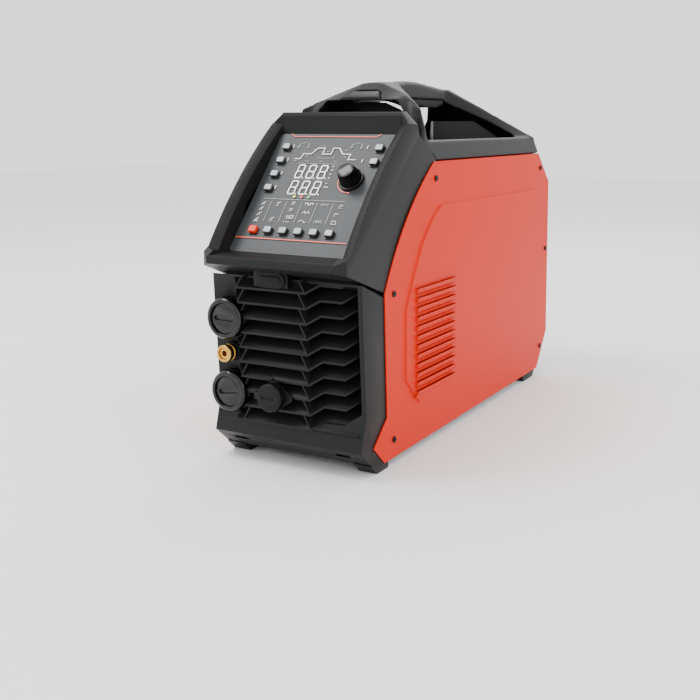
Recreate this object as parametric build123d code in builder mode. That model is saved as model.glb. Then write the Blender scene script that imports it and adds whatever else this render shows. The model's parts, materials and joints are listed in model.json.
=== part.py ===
"""AC/DC inverter TIG welding power source, as an assembly of separate pieces.

The machine stands on its feet with +Z up. The control head looks along -Y, and +X is the
right-hand side of somebody who faces the controls. The origin is on the ground, below the
middle of the machine's overall box.

Two datums carry the layout. "y" values in the profiles are measured backwards from FACE_Y,
the front edge of the lower front panel, and the head and the handle are measured from
BODY_TOP, the top edge of the side covers.
"""

from math import cos, radians, sin
import os

from build123d import *

# ---------------------------------------------------------------- driving sizes, millimetres
HALF_WIDTH = 120.0        # to the outside of the flat of each side cover
BODY_LENGTH = 700.0       # front edge of the lower panel to the rear panel
BODY_TOP = 411.0          # top edge of the side covers above the ground
CHIN_REACH = 37.0         # how far the control head stands in front of the lower panel
REAR_REACH = 30.0         # how far the fittings stand behind the rear panel

COVER_SHEET = 1.5         # painted steel side covers
EMBOSS_RISE = 2.5         # raised field on each side cover
LOUVRE_RISE = 5.0         # how far each pressed side louvre stands out of the raised field
WALL = 3.0                # moulded plastic walls
GAP = 0.3                 # clearance between neighbouring pieces

LOUVRE_BLADES = 10        # inclined blades in the lower front panel, the lowest is its sill
BLADE_SLOPE = 0.7         # rise per millimetre of depth
BLADE_THICK = 2.6
BLADE_DEPTH = 32.0
SIDE_LOUVRES = 12
SIDE_LOUVRE_PITCH = 13.4
SIDE_LOUVRE_LENGTH = 128.0

PANEL_TILT = 49.7         # control panel, degrees from level
BUTTON_TRAVEL = 1.2
FAN_RADIUS = 70.0
SOCKET_RING_DIA = 57.0
SOCKET_X = -90.0
GAS_Z = 153.0

# ---------------------------------------------------------------- places worked out from them
FACE_Y = -(CHIN_REACH + BODY_LENGTH + REAR_REACH) / 2 + CHIN_REACH
REAR_Y = FACE_Y + BODY_LENGTH
INNER_X = HALF_WIDTH - COVER_SHEET - 0.2      # outside of whatever a side cover lies against
RIM_X = HALF_WIDTH - 8.0                      # outer edge of the control head's front rim
PANEL_X = HALF_WIDTH - 22.0                   # half width of the control panel recess
BASE_Z = 10.0                                 # underside of the base tray
FOOT_X = HALF_WIDTH - 30.0                    # inner side of each foot

CHIN_Z = BODY_TOP - 121.0                     # top of the chin below the controls
FRONT_TOP = BODY_TOP - 150.0                  # top of the lower front panel
KNEE_Z = 85.0                                 # where the lower front panel flares out again
BEVEL_Z = 39.0                                # top of the bevel above the front feet
LEAN = 10.5 / 172.0                           # lower front panel leans back going down

os.makedirs("parts", exist_ok=True)


def save(part, label):
    """Label a finished piece and write it as its own STEP file."""
    part.label = label
    export_step(part, f"parts/{label}.step")


def back(y):
    """Model Y of a place y millimetres behind the lower panel's front edge."""
    return FACE_Y + y


def prism_yz(points, x_from, x_to, mode=Mode.ADD):
    """Side profile, as (y behind the face, height) points, extruded across the machine."""
    with BuildSketch(Plane.YZ.offset(x_from)) as profile:
        with BuildLine():
            Polyline(*[(back(y), z) for y, z in points], close=True)
        make_face()
    extrude(profile.sketch, amount=x_to - x_from, mode=mode)


def prism_xy(points, z_from, z_to, mode=Mode.ADD):
    """Plan outline, as (x, y behind the face) points, extruded upwards."""
    with BuildSketch(Plane.XY.offset(z_from)) as profile:
        with BuildLine():
            Polyline(*[(x, back(y)) for x, y in points], close=True)
        make_face()
    extrude(profile.sketch, amount=z_to - z_from, mode=mode)


def prism_xz(points, y_from, y_to, mode=Mode.ADD):
    """Front outline, as (x, height) points, extruded backwards."""
    with BuildSketch(Plane.XZ.offset(-back(y_from))) as profile:
        with BuildLine():
            Polyline(*points, close=True)
        make_face()
    extrude(profile.sketch, amount=-(y_to - y_from), mode=mode)


def block(x, y, z, mode=Mode.ADD):
    """Box between two x, two y (behind the face) and two z values."""
    outline = [(x[0], y[0]), (x[1], y[0]), (x[1], y[1]), (x[0], y[1])]
    prism_xy(outline, z[0], z[1], mode)


def disc_y(x, z, y_from, y_to, radius, mode=Mode.ADD):
    """Cylinder along Y, from y_from back to y_to."""
    with BuildSketch(Plane.XZ.offset(-back(y_from))) as profile:
        with Locations((x, z)):
            Circle(radius)
    extrude(profile.sketch, amount=-(y_to - y_from), mode=mode)


def face_y(z):
    """Front of the lower panel's plate at a height: it leans back going down."""
    return 2.0 + LEAN * (FRONT_TOP - 4.0 - z)


# ---------------------------------------------------------------- lower front panel
CENTRE_STEP = 14.0                            # middle of each blade stands this far forward
V0 = -HALF_WIDTH + 37.0                       # corners of the blades' front edge, left to right
V1 = V0 + CENTRE_STEP
V4 = HALF_WIDTH - 32.0
V3 = V4 - 33.0
V2 = V3 - CENTRE_STEP
POST_X = HALF_WIDTH - 8.0                     # inner side of the right corner post
V_END = POST_X - V4                           # the last stretch runs back at 45 degrees
SILL_Z = 62.0                                 # front edge of the opening's sill
LAST_BLADE_Z = FRONT_TOP - 13.0               # highest blade's front edge
BLADE_PITCH = (LAST_BLADE_Z - SILL_Z) / (LOUVRE_BLADES - 1)
RIB_LEAN = 11.6
FLANGE_Z = 100.5                              # control socket
FLANGE_X = -16.0
SOCKET_TOP_Z = GAS_Z + 48.5
SOCKET_BOTTOM_Z = GAS_Z - 54.5
BOSS_RADIUS = SOCKET_RING_DIA / 2 + 1.0
PORT_X, PORT_Z = -15.0, LAST_BLADE_Z + 12.0   # oval port cover under the chin
PORT_SIZE = (47.0, 22.0)
PORT_Y = face_y(LAST_BLADE_Z) - CENTRE_STEP + 3.0


def blade_outline(step, depth):
    """Plan of a blade: front edge with its middle pushed forward, straight back edge."""
    return [
        (V0, step), (V1, step - CENTRE_STEP), (V2, step - CENTRE_STEP), (V3, step),
        (V4, step), (POST_X, step + V_END), (POST_X, step + depth), (V0, step + depth),
    ]


def slope_band(y, z, thick):
    """Side profile of an inclined slab whose upper face passes through (y, z)."""
    near, far = y - 40.0, y + 80.0
    return [
        (near, z + BLADE_SLOPE * (near - y)), (far, z + BLADE_SLOPE * (far - y)),
        (far, z + BLADE_SLOPE * (far - y) - thick), (near, z + BLADE_SLOPE * (near - y) - thick),
    ]


with BuildPart() as one_blade:
    prism_xy(blade_outline(0.0, BLADE_DEPTH), -10.0, 60.0)
    prism_yz(slope_band(-CENTRE_STEP, 0.0, BLADE_THICK * 1.2), -HALF_WIDTH, HALF_WIDTH,
             Mode.INTERSECT)

with BuildPart() as lower_front_panel:
    top_y, knee_y = face_y(FRONT_TOP), face_y(KNEE_Z)
    rear = 78.0
    prism_yz([(0, BEVEL_Z), (knee_y, KNEE_Z), (top_y, FRONT_TOP), (rear, FRONT_TOP - 32.0),
              (rear, BASE_Z + 4.0), (29, BASE_Z + 4.0)], -INNER_X, INNER_X)
    # hollow inside, open to the back
    prism_yz([(WALL, BEVEL_Z + 1.5), (knee_y + WALL, KNEE_Z), (top_y + WALL, FRONT_TOP - WALL),
              (rear + 1, FRONT_TOP - 36.0), (rear + 1, BASE_Z + 8.0), (31, BASE_Z + 8.0)],
             -INNER_X + WALL, INNER_X - WALL, Mode.SUBTRACT)
    # side walls follow the covers' front edges
    for side in (-1, 1):
        outer, inner = side * (INNER_X + 1), side * (INNER_X - WALL - 1)
        prism_yz([(80, BODY_TOP - 172.0), (72, BODY_TOP - 172.0), (79, 74), (44, 38), (73, 8),
                  (95, 8), (95, BODY_TOP - 172.0)], min(outer, inner), max(outer, inner),
                 Mode.SUBTRACT)
    # front feet, moulded on below the bevel
    for side in (-1, 1):
        near, far = sorted((side * FOOT_X, side * INNER_X))
        prism_yz([(26, BASE_Z + 5.0), (42, 0), (72, 0), (74, BASE_Z + 5.0)], near, far)
        slot_x = side * (FOOT_X - 7.0)
        block((slot_x - 11.0, slot_x + 11.0), (2, 20), (26, 31), Mode.SUBTRACT)
    # air opening, its box and its blades
    with BuildPart(mode=Mode.PRIVATE) as opening:
        prism_xy([(V0 + WALL, -30), (POST_X, -30), (POST_X, 60), (V0 + WALL, 60)],
                 SILL_Z - 2.0, FRONT_TOP)
        prism_yz([(-40, SILL_Z - 30), (60, SILL_Z + 40), (60, FRONT_TOP - WALL - 25),
                  (top_y + WALL, FRONT_TOP - WALL), (-40, FRONT_TOP - WALL)],
                 -HALF_WIDTH, HALF_WIDTH, Mode.INTERSECT)
    add(opening.part, mode=Mode.SUBTRACT)
    for index in range(LOUVRE_BLADES + 1):
        z = SILL_Z + index * BLADE_PITCH
        if index < LOUVRE_BLADES:
            add(one_blade.part.moved(Location((0, face_y(z), z))))
        if index == 0:
            continue
        for side, corner in ((1, V1), (-1, V2)):
            low, high = z - BLADE_PITCH, z
            y = face_y(z) - CENTRE_STEP + 0.8
            lean = side * RIB_LEAN
            prism_xz([(corner, low), (corner + side * 2.2, low), (corner + lean + side * 2.2, high),
                      (corner + lean, high)], y, y + 24.0)
    # the lower edge of the opening rises towards the right corner post
    with BuildPart(mode=Mode.PRIVATE) as sill_rise:
        prism_xz([(V2 + 6.5, SILL_Z - 1.5), (POST_X + 1, SILL_Z - 1.5), (POST_X + 1, SILL_Z + V_END + 3.0),
                  (V4, SILL_Z + 9.5), (V3, SILL_Z + 8.0)], -10, 40)
        prism_yz([(0, BEVEL_Z), (knee_y, KNEE_Z), (knee_y, FRONT_TOP), (knee_y + WALL, FRONT_TOP),
                  (knee_y + WALL, KNEE_Z), (WALL, BEVEL_Z)], -HALF_WIDTH, HALF_WIDTH, Mode.INTERSECT)
    add(sill_rise.part)
    # walls of the box around the blades
    block((V0, V0 + WALL), (knee_y - 2.0, knee_y + BLADE_DEPTH), (KNEE_Z, FRONT_TOP - 25.0))
    prism_yz([(2, SILL_Z - 1), (44, SILL_Z - 1 + BLADE_SLOPE * 42), (44, SILL_Z - 5 + BLADE_SLOPE * 42),
              (7, SILL_Z - 5)], V0, POST_X)
    # nothing of the blades stands above the panel's sloping top
    prism_yz([(-40, FRONT_TOP), (top_y, FRONT_TOP), (82, FRONT_TOP - 33.7), (82, FRONT_TOP + 60),
              (-40, FRONT_TOP + 60)], -HALF_WIDTH, HALF_WIDTH, Mode.SUBTRACT)
    # bosses for the two output sockets and the gas outlet, clear of the blades' left corners
    for z, radius, nut in ((SOCKET_TOP_Z, BOSS_RADIUS, 25.0), (SOCKET_BOTTOM_Z, BOSS_RADIUS, 25.0),
                           (GAS_Z, 14.0, 14.0)):
        disc_y(SOCKET_X, z, face_y(z) - 40.0, face_y(z) + 0.5, radius, Mode.SUBTRACT)
        disc_y(SOCKET_X, z, face_y(z) + WALL + 3.0, face_y(z) + 60.0, nut, Mode.SUBTRACT)
        disc_y(SOCKET_X, z, face_y(z) + 0.5, face_y(z) + WALL + 3.0, radius)
    for z in (SOCKET_TOP_Z, SOCKET_BOTTOM_Z):
        disc_y(SOCKET_X, z, face_y(z) - 20.0, face_y(z) + 30.0, 18.0 + GAP, Mode.SUBTRACT)
    disc_y(SOCKET_X, GAS_Z, face_y(GAS_Z) - 20.0, face_y(GAS_Z) + 30.0, 8.0 + GAP, Mode.SUBTRACT)
    # plate that carries the control socket, in front of the blades
    socket_y = face_y(FLANGE_Z) - CENTRE_STEP
    prism_xz([(FLANGE_X - 34, FLANGE_Z), (FLANGE_X, FLANGE_Z - 25), (FLANGE_X + 34, FLANGE_Z),
              (FLANGE_X, FLANGE_Z + 25)], socket_y - 20.0, socket_y + 2.0, Mode.SUBTRACT)
    prism_xz([(FLANGE_X - 28, FLANGE_Z), (FLANGE_X, FLANGE_Z - 20), (FLANGE_X + 28, FLANGE_Z),
              (FLANGE_X, FLANGE_Z + 20)], socket_y + 2.0, socket_y + 26.0)
    disc_y(FLANGE_X, FLANGE_Z, socket_y - 5.0, socket_y + 45.0, 12.0 + GAP, Mode.SUBTRACT)
    # plate behind the top cell, which carries the oval port cover
    block((PORT_X - 27.0, PORT_X + 27.0), (PORT_Y, PORT_Y + WALL), (LAST_BLADE_Z - 1.0, PORT_Z + 12.0))
    with BuildSketch(Plane.XZ.offset(-back(PORT_Y - 1.0))) as port:
        with Locations((PORT_X, PORT_Z)):
            SlotOverall(PORT_SIZE[0] - 8 + 2 * GAP, PORT_SIZE[1] - 8 + 2 * GAP)
    extrude(port.sketch, amount=-8.0, mode=Mode.SUBTRACT)
    with BuildSketch(Plane.XZ.offset(-back(PORT_Y - 20.0))) as port_recess:
        with Locations((PORT_X, PORT_Z)):
            SlotOverall(PORT_SIZE[0] + 2 * GAP, PORT_SIZE[1] + 2 * GAP)
    extrude(port_recess.sketch, amount=-20.0, mode=Mode.SUBTRACT)
    # baffle that closes the gap behind the chin
    block((-RIM_X + 8, RIM_X - 8), (top_y + 10, top_y + 12), (FRONT_TOP - 6, FRONT_TOP + 18))
save(lower_front_panel.part, "lower_front_panel")


# ---------------------------------------------------------------- control head
HEAD_TOP = BODY_TOP + 70.0
RIM_DEEP = 7.0                                # the rim slopes inwards by this much
PANEL_Y = 10.7                                # lower edge of the control panel
PANEL_Z = CHIN_Z + 2.0
PANEL_LENGTH = 207.0
OVERLAY = 2.0
slope = radians(PANEL_TILT)
PANEL = Plane(origin=(0, back(PANEL_Y), PANEL_Z), x_dir=(1, 0, 0),
              z_dir=(0, -sin(slope), cos(slope)))


def on_panel(up, out):
    """(y, z) of a place up the panel's slope and out of its face."""
    return (PANEL_Y + up * cos(slope) - out * sin(slope),
            PANEL_Z + up * sin(slope) + out * cos(slope))


def rim_arc(shift):
    """Front edge of the rim, as three (y, z) points of one arc, moved back by shift."""
    points = ((-16.0, CHIN_Z + 10.0), (47.0, BODY_TOP - 30.0), (142.0, BODY_TOP + 56.0))
    return [(y + shift * 0.8, z - shift * 0.6) for y, z in points]


def in_front_of_rim(x, shift):
    """Closed outline at one x of everything in front of the rim's arc."""
    low, middle, high = [(back(y), z) for y, z in rim_arc(shift)]
    with BuildSketch(Plane.YZ.offset(x)) as outline:
        with BuildLine():
            ThreePointArc(low, middle, high)
            Polyline(high, (high[0], high[1] + 60), (back(-90), high[1] + 60), (back(-90), low[1]), low)
        make_face()
    return outline.sketch


with BuildPart() as control_bezel:
    rim = [(back(y), z) for y, z in rim_arc(0.0)]
    with BuildSketch(Plane.YZ.offset(-INNER_X)) as profile:
        with BuildLine():
            ThreePointArc(*rim)
            Polyline(rim[2], (back(147), HEAD_TOP - 5), (back(149), HEAD_TOP), (back(163), HEAD_TOP),
                     (back(171), BODY_TOP + 38), (back(181), BODY_TOP + 30),
                     (back(207), BODY_TOP + 9), (back(222), BODY_TOP - 4), (back(76), FRONT_TOP - 24),
                     (back(-CHIN_REACH), CHIN_Z - 10), (back(-34), CHIN_Z), rim[0])
        make_face()
    extrude(profile.sketch, amount=2 * INNER_X)
    # chin corners, and the head's top corners
    for side in (-1, 1):
        prism_xy([(side * PANEL_X, -CHIN_REACH), (side * (RIM_X + 3), -22.6), (side * 150, 20),
                  (side * 150, -60), (side * PANEL_X, -60)], FRONT_TOP - 40, HEAD_TOP, Mode.SUBTRACT)
        prism_xz([(side * PANEL_X, HEAD_TOP), (side * (RIM_X + 8), HEAD_TOP - 25),
                  (side * 150, HEAD_TOP - 25), (side * 150, HEAD_TOP + 20),
                  (side * PANEL_X, HEAD_TOP + 20)], -60, 300, Mode.SUBTRACT)
    # sides lean in towards the rim
    along = (0.687, 0.727)                    # direction of the rim's chord in the side view
    for side in (-1, 1):
        lean_plane = Plane(origin=(side * RIM_X, back(-16), CHIN_Z + 10), x_dir=(0, along[0], along[1]),
                           z_dir=Vector(side * 88.0, -(INNER_X - RIM_X) * along[1],
                                        (INNER_X - RIM_X) * along[0]).normalized())
        with BuildSketch(lean_plane) as side_face:
            Rectangle(900, 900)
        extrude(side_face.sketch, amount=40, mode=Mode.SUBTRACT)
    # the rim slopes inwards
    for side in (-1, 1):
        shapes = [in_front_of_rim(side * (RIM_X + 1), 0.0), in_front_of_rim(side * PANEL_X, RIM_DEEP)]
        with BuildPart(mode=Mode.PRIVATE) as rim_cut:
            loft(shapes)
        add(rim_cut.part, mode=Mode.SUBTRACT)
    # recess for the control panel, with a ledge at its foot
    lower = on_panel(0, -OVERLAY)
    upper = on_panel(PANEL_LENGTH, -OVERLAY)
    prism_yz([(-60, CHIN_Z), (-34, CHIN_Z), (PANEL_Y, PANEL_Z), lower, upper, (147, HEAD_TOP - 6),
              (120, HEAD_TOP + 40), (-60, HEAD_TOP + 40)], -PANEL_X, PANEL_X, Mode.SUBTRACT)
    # hollow inside, open to the back and the bottom
    floor_low, floor_high = on_panel(-6, -OVERLAY - WALL), on_panel(PANEL_LENGTH, -OVERLAY - WALL)
    prism_yz([(-CHIN_REACH + 11, CHIN_Z - 8), (-24, CHIN_Z - WALL), (PANEL_Y - 2, PANEL_Z - WALL),
              floor_low, floor_high, (167.5, BODY_TOP + 36), (178, BODY_TOP + 27.5),
              (203, BODY_TOP + 7), (219, BODY_TOP - 8), (84, FRONT_TOP - 90), (top_y + 6, FRONT_TOP - 60),
              (top_y + 6, FRONT_TOP + 6), (-CHIN_REACH + 11, CHIN_Z - 10)],
             -PANEL_X - 8, PANEL_X + 8, Mode.SUBTRACT)
    prism_yz([floor_high, (150.5, HEAD_TOP - 6), (152, HEAD_TOP - WALL), (160, HEAD_TOP - WALL),
              (167.5, BODY_TOP + 36)], -PANEL_X + WALL, PANEL_X - WALL, Mode.SUBTRACT)
    prism_yz([(24, FRONT_TOP - 60), (24, FRONT_TOP + 6), (52, CHIN_Z + 60), (150, BODY_TOP + 30),
              (164, BODY_TOP + 34), (177, BODY_TOP + 26), (203, BODY_TOP + 6), (219, BODY_TOP - 8),
              (84, FRONT_TOP - 60)],
             -RIM_X + 1, RIM_X - 1, Mode.SUBTRACT)
    # room for the lower front panel
    prism_yz([(-8, FRONT_TOP - 60), (-8, FRONT_TOP + 6), (top_y - 2, FRONT_TOP + 4.5),
              (top_y - 2, FRONT_TOP + GAP), (top_y, FRONT_TOP + GAP), (82, FRONT_TOP - 33.5),
              (82, FRONT_TOP - 60)],
             -INNER_X - 1, INNER_X + 1, Mode.SUBTRACT)
    block((PORT_X - 28, PORT_X + 28), (PORT_Y - 5, PORT_Y + 7), (FRONT_TOP - 20, PORT_Z + 12.5),
          Mode.SUBTRACT)
save(control_bezel.part, "control_bezel")


# ---------------------------------------------------------------- control panel, buttons, knob
PLATE_LENGTH = PANEL_LENGTH - 2 * GAP
BUTTON = (13.0, 11.0)
BUTTON_PROUD = 6.0
BUTTON_PITCH = 24.6
COLUMN_X = PANEL_X - 21.5
COLUMN_TOP = PANEL_LENGTH - 26.5
ROW_X, ROW_UP = -PANEL_X + 27.0, 35.5
KNOB_X, KNOB_UP, KNOB_HIGH = 52.0, 125.4, 24.0
KNOB_BASE, KNOB_TAPER = 18.0, 12.0
BUTTONS = {}
for place in range(4):
    BUTTONS[f"button_left_{place + 1}"] = (-COLUMN_X, COLUMN_TOP - place * BUTTON_PITCH)
for place in range(2):
    BUTTONS[f"button_right_{place + 1}"] = (COLUMN_X, COLUMN_TOP - place * BUTTON_PITCH)
for place in range(6):
    BUTTONS[f"button_bottom_{place + 1}"] = (ROW_X + place * BUTTON_PITCH, ROW_UP)
LAMP_UP, LAMP_X, LAMP_PITCH = 95.0, -28.5, 11.7
SCREEN_X, SCREEN_LOW, SCREEN_HIGH = (-46.0, 9.0), 96.0, 153.0


def panel_plane(out):
    """The control panel's plane, moved out of its face."""
    return PANEL.offset(out)


with BuildPart() as control_overlay:
    with BuildSketch(panel_plane(-OVERLAY + 0.02)) as plate:
        with Locations((0, PLATE_LENGTH / 2 + GAP)):
            RectangleRounded(2 * (PANEL_X - GAP), PLATE_LENGTH, 5.0)
        for x, up in BUTTONS.values():
            with Locations((x, up)):
                RectangleRounded(BUTTON[0] + 2 * GAP, BUTTON[1] + 2 * GAP, 3.0, mode=Mode.SUBTRACT)
        with Locations((KNOB_X, KNOB_UP)):
            Circle(5.0, mode=Mode.SUBTRACT)
        for lamp in range(3):
            with Locations((LAMP_X + lamp * LAMP_PITCH, LAMP_UP)):
                Circle(1.6 + GAP / 2, mode=Mode.SUBTRACT)
        with Locations(((SCREEN_X[0] + SCREEN_X[1]) / 2, (SCREEN_LOW + SCREEN_HIGH) / 2 + 2)):
            RectangleRounded(SCREEN_X[1] - SCREEN_X[0], SCREEN_HIGH - SCREEN_LOW - 6, 2.0,
                             mode=Mode.SUBTRACT)
    extrude(plate.sketch, amount=OVERLAY)
save(control_overlay.part, "control_overlay")

# the head's floor is pierced under each button, lamp, screen and the knob's shaft
with BuildPart() as floor_holes:
    with BuildSketch(panel_plane(1.0)) as pierced:
        for x, up in BUTTONS.values():
            with Locations((x, up)):
                Rectangle(BUTTON[0] + 2 * GAP, BUTTON[1] + 2 * GAP)
        with Locations((KNOB_X, KNOB_UP)):
            Circle(5.0)
        for lamp in range(3):
            with Locations((LAMP_X + lamp * LAMP_PITCH, LAMP_UP)):
                Circle(1.6 + GAP / 2)
        with Locations(((SCREEN_X[0] + SCREEN_X[1]) / 2, (SCREEN_LOW + SCREEN_HIGH) / 2 + 2)):
            Rectangle(SCREEN_X[1] - SCREEN_X[0], SCREEN_HIGH - SCREEN_LOW - 6)
    extrude(pierced.sketch, amount=-12.0)
save(control_bezel.part - floor_holes.part, "control_bezel")

BOARD_OUT = -OVERLAY - WALL - 7.0             # face of the control board, below the panel
for name, (x, up) in BUTTONS.items():
    with BuildPart() as button:
        with BuildSketch(panel_plane(BOARD_OUT + BUTTON_TRAVEL + 1.4)) as stem:
            with Locations((x, up)):
                RectangleRounded(BUTTON[0], BUTTON[1], 2.8)
        extrude(stem.sketch, amount=BUTTON_PROUD - (BOARD_OUT + BUTTON_TRAVEL + 1.4))
        fillet(button.faces().filter_by(Axis(PANEL.origin, PANEL.z_dir)).sort_by(
            Axis(PANEL.origin, PANEL.z_dir))[-1].edges(), 1.6)
    save(button.part, name)

with BuildPart() as encoder_knob:
    with BuildSketch(panel_plane(0.6)) as skirt:
        with Locations((KNOB_X, KNOB_UP)):
            Circle(KNOB_BASE)
    extrude(skirt.sketch, amount=4.0)
    with BuildSketch(panel_plane(4.6)) as grip:
        with Locations((KNOB_X, KNOB_UP)):
            Circle(KNOB_BASE - 1.5)
            with PolarLocations(KNOB_BASE - 1.3, 18):
                Circle(1.1, mode=Mode.SUBTRACT)
    extrude(grip.sketch, amount=KNOB_HIGH - 4.6, taper=KNOB_TAPER)
    with BuildSketch(panel_plane(0.6)) as shaft_hole:
        with Locations((KNOB_X, KNOB_UP)):
            Circle(3.0)
    extrude(shaft_hole.sketch, amount=14.0, mode=Mode.SUBTRACT)
save(encoder_knob.part, "encoder_knob")

with BuildPart() as encoder_body:
    with BuildSketch(panel_plane(BOARD_OUT)) as can:
        with Locations((KNOB_X, KNOB_UP)):
            Rectangle(13.0, 12.0)
    extrude(can.sketch, amount=6.0)
    with BuildSketch(panel_plane(BOARD_OUT + 6.0)) as shaft:
        with Locations((KNOB_X, KNOB_UP)):
            Circle(2.95)
    extrude(shaft.sketch, amount=13.0 - BOARD_OUT - 6.0)
save(encoder_body.part, "encoder_body")

with BuildPart() as display_module:
    with BuildSketch(panel_plane(BOARD_OUT)) as blocks:
        with Locations(((SCREEN_X[0] + SCREEN_X[1]) / 2, (SCREEN_LOW + SCREEN_HIGH) / 2 + 2)):
            RectangleRounded(SCREEN_X[1] - SCREEN_X[0] - 2 * GAP, SCREEN_HIGH - SCREEN_LOW - 6 - 2 * GAP,
                             1.9)
    extrude(blocks.sketch, amount=-BOARD_OUT - 0.2)
save(display_module.part, "display_module")

with BuildPart() as indicator_lamps:
    with BuildSketch(panel_plane(BOARD_OUT)) as lamps:
        for lamp in range(3):
            with Locations((LAMP_X + lamp * LAMP_PITCH, LAMP_UP)):
                Circle(1.6)
    extrude(lamps.sketch, amount=-BOARD_OUT + 0.4)
save(indicator_lamps.part, "indicator_lamps")

with BuildPart() as control_board:
    with BuildSketch(panel_plane(BOARD_OUT - 1.8)) as board:
        with Locations((0, PANEL_LENGTH / 2 - 2)):
            Rectangle(2 * PANEL_X - 12.0, PANEL_LENGTH - 26.0)
    extrude(board.sketch, amount=1.6)
    with BuildSketch(panel_plane(BOARD_OUT - 1.8)) as chips:
        for x, up in ((-50, 60), (20, 150), (50, 70)):
            with Locations((x, up)):
                Rectangle(24.0, 18.0)
    extrude(chips.sketch, amount=-4.0)
save(control_board.part, "control_board")


# ---------------------------------------------------------------- side covers
def cover_edge():
    """Cover's outline from its lower front corner round to where the curved edge starts."""
    return [
        (208, BODY_TOP), (BODY_LENGTH - 60, BODY_TOP), (BODY_LENGTH - 3, BODY_TOP - 53),
        (BODY_LENGTH, 76), (BODY_LENGTH - 48, BASE_Z + 3), (60, BASE_Z), (30, 38), (67, 71),
        (60, BODY_TOP - 170),
    ]


LOUVRE_Y = 146.0
EMBOSS = [
    (229, BODY_TOP - 62), (BODY_LENGTH - 76, BODY_TOP - 62), (BODY_LENGTH - 62, BODY_TOP - 76),
    (BODY_LENGTH - 62, 96), (BODY_LENGTH - 73, 69), (160, 69), (118, 110), (118, BODY_TOP - 200),
    (143, BODY_TOP - 153), (167, BODY_TOP - 113), (201, BODY_TOP - 79),
]
COVER_SCREWS = [(85, BODY_TOP - 173), (213, BODY_TOP - 24), (BODY_LENGTH - 50, BODY_TOP - 26),
                (BODY_LENGTH - 15, 234), (BODY_LENGTH - 35, 52), (86, 36)]


def louvre_rows():
    """Heights of the pressed louvres, from the top one down."""
    return [BODY_TOP - 174.5 - row * SIDE_LOUVRE_PITCH for row in range(SIDE_LOUVRES)]


def side_cover(side, label):
    """Pressed steel cover for one side: flat plate, raised field, louvres and folded flanges."""
    flat = side * (HALF_WIDTH - COVER_SHEET)
    with BuildPart() as cover:
        with BuildSketch(Plane.YZ.offset(flat)) as plate:
            with BuildLine():
                points = [(back(y), z) for y, z in cover_edge()]
                Polyline(*points)
                ThreePointArc(points[-1], (back(122), BODY_TOP - 77), points[0])
            make_face()
        extrude(plate.sketch, amount=side * COVER_SHEET)
        with BuildSketch(Plane.YZ.offset(side * (HALF_WIDTH - 0.2))) as field:
            with BuildLine():
                Polyline(*[(back(y), z) for y, z in EMBOSS], close=True)
            make_face()
        extrude(field.sketch, amount=side * (EMBOSS_RISE + 0.2), taper=30)
        with BuildSketch(Plane.YZ.offset(side * (HALF_WIDTH - COVER_SHEET))) as hollow:
            with BuildLine():
                Polyline(*[(back(y), z) for y, z in EMBOSS], close=True)
            make_face()
            offset(amount=-2.5, mode=Mode.REPLACE)
        extrude(hollow.sketch, amount=side * EMBOSS_RISE, mode=Mode.SUBTRACT)
        # louvres: a hood that swells out of the field, over a thin slot that opens upwards
        skin = HALF_WIDTH + EMBOSS_RISE
        for z in louvre_rows():
            hood = [(side * (skin - 0.6), z - 11.0), (side * (skin + 3.0), z - 6.0),
                    (side * (skin + LOUVRE_RISE), z - 1.2), (side * (skin + LOUVRE_RISE), z),
                    (side * (skin + LOUVRE_RISE - 1.4), z), (side * (skin + 1.6), z - 6.0),
                    (side * (skin - 0.6), z - 9.0)]
            prism_xz(hood, LOUVRE_Y, LOUVRE_Y + SIDE_LOUVRE_LENGTH)
            for end in (LOUVRE_Y, LOUVRE_Y + SIDE_LOUVRE_LENGTH - 1.2):
                prism_xz([*hood[:4], (side * (skin - 0.6), z)], end, end + 1.2)
            low, high = sorted((side * (skin - 4), side * (skin + 0.4)))
            block((low, high), (LOUVRE_Y + 2, LOUVRE_Y + SIDE_LOUVRE_LENGTH - 2), (z - 2.6, z - 0.4),
                  Mode.SUBTRACT)
        # flanges folded inwards along the top and the bottom
        low, high = sorted((side * (HALF_WIDTH - 14.0), flat))
        block((low, high), (226, BODY_LENGTH - 62), (BODY_TOP - COVER_SHEET, BODY_TOP))
        with BuildSketch(Plane.YZ.offset(flat - side * 2)) as holes:
            for y, z in COVER_SCREWS:
                with Locations((back(y), z)):
                    Circle(2.3)
        extrude(holes.sketch, amount=side * (COVER_SHEET + 4), mode=Mode.SUBTRACT)
    save(cover.part, label)


side_cover(1, "right_cover")
side_cover(-1, "left_cover")

# ---------------------------------------------------------------- carrying handle and deck
RAIL_TOP = BODY_TOP + 30.0
RAIL_IN = HALF_WIDTH - 36.0                   # inner side of each side rail
GRIP_HALF = 17.0
GRIP_TOP = BODY_TOP + 120.0
GRIP_LOW = GRIP_TOP - 28.0                    # seat of the soft insert
TAIL_Y = BODY_LENGTH - 55.0
HOOD_START, HOOD_DROP = BODY_LENGTH - 210.0, 0.529
REAR_LEG_X = HALF_WIDTH - 12.0


def hood_z(y):
    """Height of the sloping hood over the rear legs."""
    return GRIP_TOP - 10.0 - HOOD_DROP * (y - HOOD_START)


def leg(sections, side):
    """Ruled leg through (x, four-cornered side profile) sections."""
    with BuildPart() as arm:
        for x, points in sections:
            with BuildSketch(Plane.YZ.offset(side * x)):
                with BuildLine():
                    Polyline(*[(back(y), z) for y, z in points], close=True)
                make_face()
        loft(ruled=True)
    return arm.part


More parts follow.
